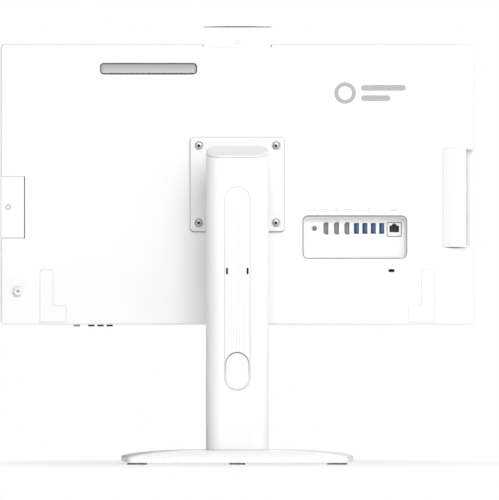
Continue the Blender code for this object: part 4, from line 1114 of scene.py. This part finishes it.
class PC_OT_side_ports(bpy.types.Operator):
    """The hood near the edge, with the sockets that look sideways out of it."""

    bl_idname = "pc.side_ports"
    bl_label = "Side port hood"

    def execute(self, context):
        refined("side_port_hood", "white_shell", "display", 0.0004, 2)
        refined("side_usb_a_port", "port_blue", "display", 0.0001, 1)
        refined("side_usb_c_port", "port_metal", "display", 0.0001, 1)
        refined("side_audio_jack", "black_plastic", "display", 0.0001, 1)
        hood_low, hood_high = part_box("side_port_hood")
        # Painted shade: a thin sheet on the recess floor, darker next to the hood's face
        start = (RECESS_EDGE, -0.0240, hood_low.z + 0.0018)
        end = (RECESS_INNER, -0.0237, hood_high.z - 0.0018)
        done(box("side_recess_lining", start, end), "recess_painted_shade")
        # Painted shadow: a dark crescent on the cover under the hood's lower end
        back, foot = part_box("rear_cover")[1].y, hood_low.z
        left, right = -0.2955, -0.2680
        bow = [math.sin(a) for a in angles(math.pi, 16)]
        under = [(right + (left - right) * k / 16, foot - 0.0003 - 0.0013 * bow[k]) for k in range(1, 16)]
        outline = [(right, foot + 0.0002), *under, (left, foot + 0.0002)]
        gap = sheet("hood_foot_gap", back - 0.0002, back + 0.00005, outline)
        done(gap, "trim_grey")
        low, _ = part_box("side_usb_a_port")
        _, *place = middle("side_usb_a_port")
        outer, inner = rounded(0.0064, 0.0140, 0.0008, place, 5), rounded(0.0056, 0.0132, 0.0005, place, 5)
        done(prism("side_usb_rim", [outer, inner], "X", low.x - 0.0002, low.x + 0.0001), "port_metal")
        return {"FINISHED"}


class PC_OT_camera_unit(bpy.types.Operator):
    """The pop-up camera: white block, dark face plate with lens, lamp and windows, and painted shade in its
    slot's gaps.
    """

    bl_idname = "pc.camera_unit"
    bl_label = "Pop-up camera"

    def execute(self, context):
        refined("webcam_housing", "white_shell", "camera", 0.0005, 3)
        refined("webcam_face", "camera_black", "camera", 0.0004, 3)
        self.face(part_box("webcam_face")[0].y, 0.5555)
        _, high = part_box("webcam_housing")
        self.back(high.y, high.z)
        return {"FINISHED"}

    @staticmethod
    def face(front, z):
        """What the camera's face holds, all on one line at height z."""
        profile = [(0.0026, 0.0), (0.0030, 0.0), (0.0031, -0.0001), (0.0031, -0.0005)]
        profile += [(0.0026, -0.0005), (0.0026, 0.0)]
        forward = Matrix.Translation((0, front + 0.0006, z)) @ Matrix.Rotation(math.pi, 4, "Z")
        ring = turned("lens_ring", profile, (0, 0, 0), "Y", 48)
        ring.data.transform(forward)
        done(ring, "nickel", "camera")
        profile = [(0.0, 0.0004), (0.0010, 0.00034), (0.0019, 0.00016), (0.0025, 0.0)]
        profile += [(0.0025, -0.0002), (0.0, -0.0002)]
        glass = turned("lens_glass_piece", profile, (0, 0.0001, 0), "Y", 40)
        glass.data.transform(forward)
        done(glass, "lens_glass", "camera")
        lamp = sheet("camera_lamp", front - 0.00005, front + 0.0001, circle((0.0085, z), 0.0006, 20))
        done(lamp, "lamp_white", "camera")
        hole = sheet("hole", -0.00005, 0.00005, circle((0, 0), 0.00045, 12))
        places = [(x, front, z) for x in (-0.030, 0.030)]
        done(at_places("microphone_holes", hole, "dark_well", places), "dark_well", "camera")
        for name, x in (("infrared_window_left", 0.0165), ("infrared_window_right", -0.0165)):
            window = rounded(0.0046, 0.0026, 0.0012, (x, z), 6)
            done(sheet(name, front - 0.00004, front + 0.0001, window), "lens_glass", "camera")

    @staticmethod
    def back(back, top):
        """The strip and ring on the camera's back, and painted shade on the sides and sill of its slot in the
        display.
        """
        half = 0.0443
        shares = [k / 12 - 1 for k in range(25)]
        under = [(half * share, top - 0.0013 - 0.0002 * (1 - share ** 2)) for share in shares]
        outline = [(-half + 0.0003, top - 0.0001), *under, (half - 0.0003, top - 0.0001)]
        done(sheet("camera_top_strip", back - 0.0004, back + 0.00005, outline), "strip_grey", "camera")
        # Painted shade: dark strips on the slot's sides and a grey line on its sill
        wall_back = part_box("rear_cover")[1].y + 0.00004
        slot_half, shade = 0.0447, 0.0003
        shades = [
            box("shade", (x - shade, back - 0.0012, 0.5400), (x + shade, wall_back, 0.5430))
            for x in (-slot_half, slot_half)
        ]
        done(merged("camera_slot_shades", *shades), "dark_well")
        sill_low, sill_high = (-0.0445, wall_back - 0.0003, 0.53962), (0.0445, wall_back, 0.5398)
        done(box("camera_slot_sill", sill_low, sill_high), "painted_shade_grey")
        ring = circle((0, 0.5468), 0.0029, 36), circle((0, 0.5468), 0.0023, 36)
        done(sheet("camera_ring_mark", back - 0.0001, back + 0.00006, *ring), "printed_grey", "camera")


class PC_OT_drive(bpy.types.Operator):
    """The side-loading drive: its tray with the door, the seams round it, the drive and its board."""

    bl_idname = "pc.drive"
    bl_label = "Drive tray"

    def execute(self, context):
        left, foot, head, edge = 0.2758, 0.2925, 0.3722, 0.3045  # where the door's seams run, and their end
        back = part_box("rear_cover")[1].y
        corner, deep = (left - 0.0010, back - 0.0020, foot - 0.001), back - 0.0022
        trims = (
            box("side", corner, (left + 0.0008, 0.0, head + 0.001)),
            box("foot", corner, (0.31, 0.0, foot + 0.0003)),
        )
        tray = cut(copy_of("drive_caddy", "drive_caddy_piece"), *trims)
        done(rounded_edges(tray, 0.0003, 2), "white_shell", "drive_tray", ["drive_caddy"])
        side_low = (left - 0.00035, deep, foot - 0.0003)
        side_high = (left + 0.00075, back - 0.0005, head + 0.0003)
        seams = merged(
            "door_seams",
            box("side", side_low, side_high),
            box("foot", (left, deep, foot - 0.00035), (edge, back - 0.0009, foot + 0.00025)),
            box("head", (left, deep, head + 0.00005), (edge, back - 0.0012, head + 0.00035)),
        )
        done(seams, "dark_well")
        refined("drive", "aluminium", "drive_tray", 0.0004, 2)
        low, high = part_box("drive")
        start, end = (low.x + 0.004, high.y, low.z + 0.004), (low.x + 0.060, high.y + 0.0009, high.z - 0.004)
        done(block("drive_board", start, end, 0.0003), "circuit_board", "drive_tray")
        back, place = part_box("drive_caddy")[1].y, (0.2972, 0.3325)
        ring = circle(place, 0.0037, 36), circle(place, 0.0023, 36)
        done(sheet("door_ring_mark", back - 0.0002, back + 0.00006, *ring), "badge_grey", "drive_tray")
        profile = [(0.0, 0.0010), (0.0016, 0.0009), (0.0022, 0.0004), (0.0023, 0.0), (0.0, 0.0)]
        screw = turned("screw", profile, (0, 0, 0), "Y", 24)
        across, up = (low.x + 0.074, high.x - 0.010), (low.z + 0.006, high.z - 0.006)
        places = [(x, high.y, z) for x in across for z in up]
        done(at_places("drive_screws", screw, "steel", places), "steel", "drive_tray")
        return {"FINISHED"}


class PC_OT_buttons(bpy.types.Operator):
    """Power and menu buttons under the lower edge."""

    bl_idname = "pc.buttons"
    bl_label = "Buttons"

    def execute(self, context):
        low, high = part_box("power_button")
        x, past = middle("power_button")[0], 0.01
        start, end = (x - 0.0002, low.y - past, low.z - past), (x + 0.0002, high.y + past, low.z + 0.0007)
        key = cut(copy_of("power_button", "power_button_piece"), box("split", start, end))
        done(rounded_edges(key, 0.0003, 2), "power_grey", "key_power", ["power_button"])
        for k in (1, 2, 3):
            refined(f"menu_button_{k}", "black_plastic", f"key_menu_{k}", 0.0004, 2)
        return {"FINISHED"}


class PC_OT_thumb_screw(bpy.types.Operator):
    """The knurled thumb screw that holds the cover."""

    bl_idname = "pc.thumb_screw"
    bl_label = "Thumb screw"

    def execute(self, context):
        low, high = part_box("thumb_screw")
        (x, z), wide, _ = seen("thumb_screw")
        back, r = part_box("rear_cover")[1].y, wide / 2
        tall, sunk = high.y - back, high.y - 0.0015
        side, foot, end = r - 0.0003, 0.0003 - tall, low.y - high.y
        profile = [(0.0, 0.0), (r - 0.0013, 0.0), (r - 0.0007, -0.0003), (side, -0.0009), (side, foot)]
        profile += [(0.0020, foot), (0.0020, end), (0.0, end)]
        head = turned("thumb_screw_piece", profile, (x, high.y, z), "Y", 64)

        def arms(long, short, start, stop):
            """A lying and an upright bar that cross on the screw's axis."""
            sizes = (("wide", long, short), ("tall", short, long))
            return [box(name, (x - w, start, z - h), (x + w, stop, z + h)) for name, w, h in sizes]

        cut(head, *arms(0.0028, 0.00055, sunk, 0.02))
        done(head, "screw_bright", nodes=["thumb_screw"])
        # Painted shade: a grey cross at the bottom of the head's cross recess
        cross = merged("thumb_screw_cross", *arms(0.0026, 0.0004, sunk + 0.00005, sunk + 0.0003))
        done(cross, "painted_shade_grey")
        reach = (tall - 0.0016) / 2
        ridge = block("ridge", (-0.0004, -0.00022, -reach), (0.0003, 0.00022, reach), 0.0001)
        count = context.scene.pc_sizes.knurl_count
        place = (x, (back + high.y) / 2 - 0.0002, z)
        done(ringed("thumb_screw_knurl", ridge, "nickel", count, side, place), "nickel")
        return {"FINISHED"}


class PC_OT_screen(bpy.types.Operator):
    """The dark screen behind its frame, with microphone holes above it and the power lamp below."""

    bl_idname = "pc.screen"
    bl_label = "Screen"

    def execute(self, context):
        refined("lcd_panel", "screen", "display", 0.0003, 1)
        low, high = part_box("front_bezel")
        hole = sheet("hole", -0.00005, 0.00005, circle((0, 0), 0.0004, 12))
        places = [(x, low.y, high.z - 0.0040) for x in (-0.046, -0.040, 0.040, 0.046)]
        done(at_places("frame_microphones", hole, "dark_well", places), "dark_well")
        window = rounded(0.0030, 0.0007, 0.0003, (0.2082, low.z + 0.0060), 4)
        done(sheet("power_lamp", low.y - 0.00004, low.y + 0.0002, window), "lamp_white")
        return {"FINISHED"}


# ---------------------------------------------------------------- inside
class PC_OT_electronics(bpy.types.Operator):
    """Mainboard, memory, cooler, blower and speakers inside the display."""

    bl_idname = "pc.electronics"
    bl_label = "Electronics"

    def execute(self, context):
        refined("mainboard", "circuit_board", "display", 0.0)
        refined("memory_module", "circuit_board", "display", 0.0)
        refined("heatsink", "fin_aluminium", "display", 0.0)
        refined("fan_housing", "black_plastic", "display", 0.0003, 1)
        refined("fan_impeller", "black_plastic", "impeller", 0.0002, 1)
        for side in ("left", "right"):
            refined("speaker_" + side, "black_plastic", "display", 0.0003, 1)
        chip = block("chip", (-0.0045, 0.0, -0.0055), (0.0045, 0.0009, 0.0055), 0.0002)
        x, _, z = middle("memory_module")
        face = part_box("memory_module")[1].y
        done(in_row("memory_chips", chip, "chip_black", 4, 0.0150, (x, face, z)), "chip_black")
        self.small_parts()
        return {"FINISHED"}

    @staticmethod
    def small_parts():
        """Chips and capacitors strewn over the free half of the board, the same way each time."""
        part = block("part", (-0.0011, 0.0, -0.0007), (0.0011, 0.0008, 0.0007), 0.0001)
        tree = Growth("board_parts")
        seed = tree.input("Seed", "Int", 11)
        density = tree.input("Density", "Float", 16000.0)
        size = {"Size X": 0.060, "Size Y": 0.085, "Vertices X": 3, "Vertices Y": 3}
        area = tree.node("GeometryNodeMeshGrid", None, size)
        placing = {"Translation": (-0.200, -0.0359, 0.2750), "Rotation": (math.pi / 2, 0.0, 0.0)}
        placed = tree.node("GeometryNodeTransform", None, {"Geometry": area, **placing})
        points = tree.node(
            "GeometryNodeDistributePointsOnFaces", {"distribute_method": "RANDOM"},
            {"Mesh": placed, "Density": density, "Seed": seed},
        )

        def chance(kind, limits, output):
            return tree.node("FunctionNodeRandomValue", {"data_type": kind}, {**limits, "Seed": seed}, output)

        turn = chance("INT", {4: 0, 5: 3}, 2)
        angle = tree.node("ShaderNodeMath", {"operation": "MULTIPLY"}, {0: turn, 1: math.pi / 2})
        spin = tree.node("ShaderNodeCombineXYZ", None, {"Y": angle})
        size = chance("FLOAT", {2: 0.5, 3: 1.6}, 1)
        copies = tree.copies(part, points, Rotation=spin, Scale=size)
        done(tree.grow(copies, "chip_black", part), "chip_black")


# ---------------------------------------------------------------- studio
class PC_OT_stage(bpy.types.Operator):
    """Pale floor, soft lights and the camera behind the object."""

    bl_idname = "pc.stage"
    bl_label = "Studio"

    def execute(self, context):
        self.floor()
        self.world(context.scene)
        self.lights()
        self.camera(context.scene)
        return {"FINISHED"}

    @staticmethod
    def floor():
        """Shaded near the object, and fading to plain white farther out."""
        made = Finish("floor_pale", (0.93, 0.93, 0.93), roughness=0.6)
        x, y, _ = made.axes()
        limits = {0: made.length(x, y), 1: 0.10, 2: 0.50, 3: 0.50, 4: 1.0}
        fade = made.node("ShaderNodeMapRange", {"interpolation_type": "SMOOTHSTEP"}, limits)
        speck = made.noise(60.0, 3.0)
        made.feed(base_color=made.ramp(speck, [(0.3, (0.925, 0.925, 0.925)), (0.7, (0.945, 0.945, 0.945))]))
        glow = made.node("ShaderNodeEmission", None, {"Color": (1.0, 1.0, 1.0, 1.0), "Strength": 1.0})
        shader = Wire(made, made.shader.outputs[0])
        both = made.node("ShaderNodeMixShader", None, {0: fade, 1: shader, 2: glow})
        made.tree.links.new(both.socket, made.tree.nodes["Material Output"].inputs["Surface"])
        bm = bmesh.new()
        bmesh.ops.create_circle(bm, cap_ends=True, segments=96, radius=30.0)
        floor = from_bmesh("floor", bm)
        floor.data.materials.append(made.material)
        if floor.data.polygons[0].normal.z < 0:
            floor.data.flip_normals()

    @staticmethod
    def world(scene):
        """White behind the object, and a softer white as the light that fills the shadows."""
        world = bpy.data.worlds.new("studio")
        scene.world = world
        world.use_nodes = True
        nodes, links = world.node_tree.nodes, world.node_tree.links
        nodes.clear()
        seen_white, fill = nodes.new("ShaderNodeBackground"), nodes.new("ShaderNodeBackground")
        seen_white.inputs["Strength"].default_value = 1.0
        seen_white.inputs["Color"].default_value = fill.inputs["Color"].default_value = (1.0, 1.0, 1.0, 1.0)
        facing, split = nodes.new("ShaderNodeTexCoord"), nodes.new("ShaderNodeSeparateXYZ")
        level = nodes.new("ShaderNodeMapRange")
        for key, value in ((1, -1.0), (2, 1.0), (3, 0.30), (4, 0.03)):
            level.inputs[key].default_value = value
        links.new(facing.outputs["Generated"], split.inputs[0])
        links.new(split.outputs[0], level.inputs[0])
        links.new(level.outputs[0], fill.inputs["Strength"])
        path, mix = nodes.new("ShaderNodeLightPath"), nodes.new("ShaderNodeMixShader")
        links.new(path.outputs["Is Camera Ray"], mix.inputs[0])
        links.new(fill.outputs[0], mix.inputs[1])
        links.new(seen_white.outputs[0], mix.inputs[2])
        links.new(mix.outputs[0], nodes.new("ShaderNodeOutputWorld").inputs["Surface"])
        scene.view_settings.view_transform = "Standard"

    @staticmethod
    def lights():
        target = Vector((0.0, 0.0, 0.33))
        for name, place, power, size in (
            ("frontal", (-0.48, 2.78, 2.0), 78.0, 1.9),
            ("key", (-2.2, 2.0, 0.9), 15.0, 1.6),
            ("far_side_fill", (-0.7, -2.6, 1.7), 20.0, 1.8),
            ("top", (0.0, 0.3, 2.7), 3.0, 2.0),
        ):
            data = bpy.data.lights.new(name, "AREA")
            data.energy, data.size = power, size
            lamp = new_object(name, data)
            lamp.location = place
            lamp.rotation_euler = (target - Vector(place)).to_track_quat("-Z", "Y").to_euler()

    @staticmethod
    def camera(scene):
        """A long lens far behind the object, level with its middle."""
        distance, width, back = 20.0, 0.6485, 0.012  # the width is what is seen at the display's back
        data = bpy.data.cameras.new("camera")
        data.sensor_width = 36.0
        data.lens = data.sensor_width * (distance + back) / width
        data.clip_end = 100.0
        camera = new_object("camera", data)
        camera.location = (-0.0158, distance, 0.2769)
        camera.rotation_euler = (math.pi / 2, 0.0, math.pi)
        scene.camera = camera


STEPS = (
    PC_OT_base, PC_OT_column, PC_OT_mechanism, PC_OT_mount, PC_OT_shell, PC_OT_vent, PC_OT_rear_ports,
    PC_OT_side_ports, PC_OT_camera_unit, PC_OT_drive, PC_OT_buttons, PC_OT_thumb_screw, PC_OT_screen,
    PC_OT_electronics, PC_OT_stage,
)


class PC_PT_panel(bpy.types.Panel):
    """Lists the pieces and the values that can be changed."""

    bl_idname = "PC_PT_panel"
    bl_label = "All-in-One PC"
    bl_space_type = "VIEW_3D"
    bl_region_type = "UI"
    bl_category = "All-in-One PC"

    def draw(self, context):
        layout = self.layout
        for group in (context.scene.pc_sizes, context.scene.pc_colours):
            column = layout.column(align=True)
            for key in group.__annotations__:
                column.prop(group, key)
        for step in STEPS:
            layout.operator(step.bl_idname)


CLASSES = (PC_PG_sizes, PC_PG_colours, *STEPS, PC_PT_panel)


def register():
    for cls in CLASSES:
        bpy.utils.register_class(cls)
    bpy.types.Scene.pc_sizes = bpy.props.PointerProperty(type=PC_PG_sizes)
    bpy.types.Scene.pc_colours = bpy.props.PointerProperty(type=PC_PG_colours)


def unregister():
    del bpy.types.Scene.pc_sizes, bpy.types.Scene.pc_colours
    for cls in reversed(CLASSES):
        bpy.utils.unregister_class(cls)


def main():
    register()
    make_finishes(bpy.context.scene.pc_colours)
    for step in STEPS:
        group, name = step.bl_idname.split(".")
        getattr(getattr(bpy.ops, group), name)()


if __name__ == "__main__":
    main()
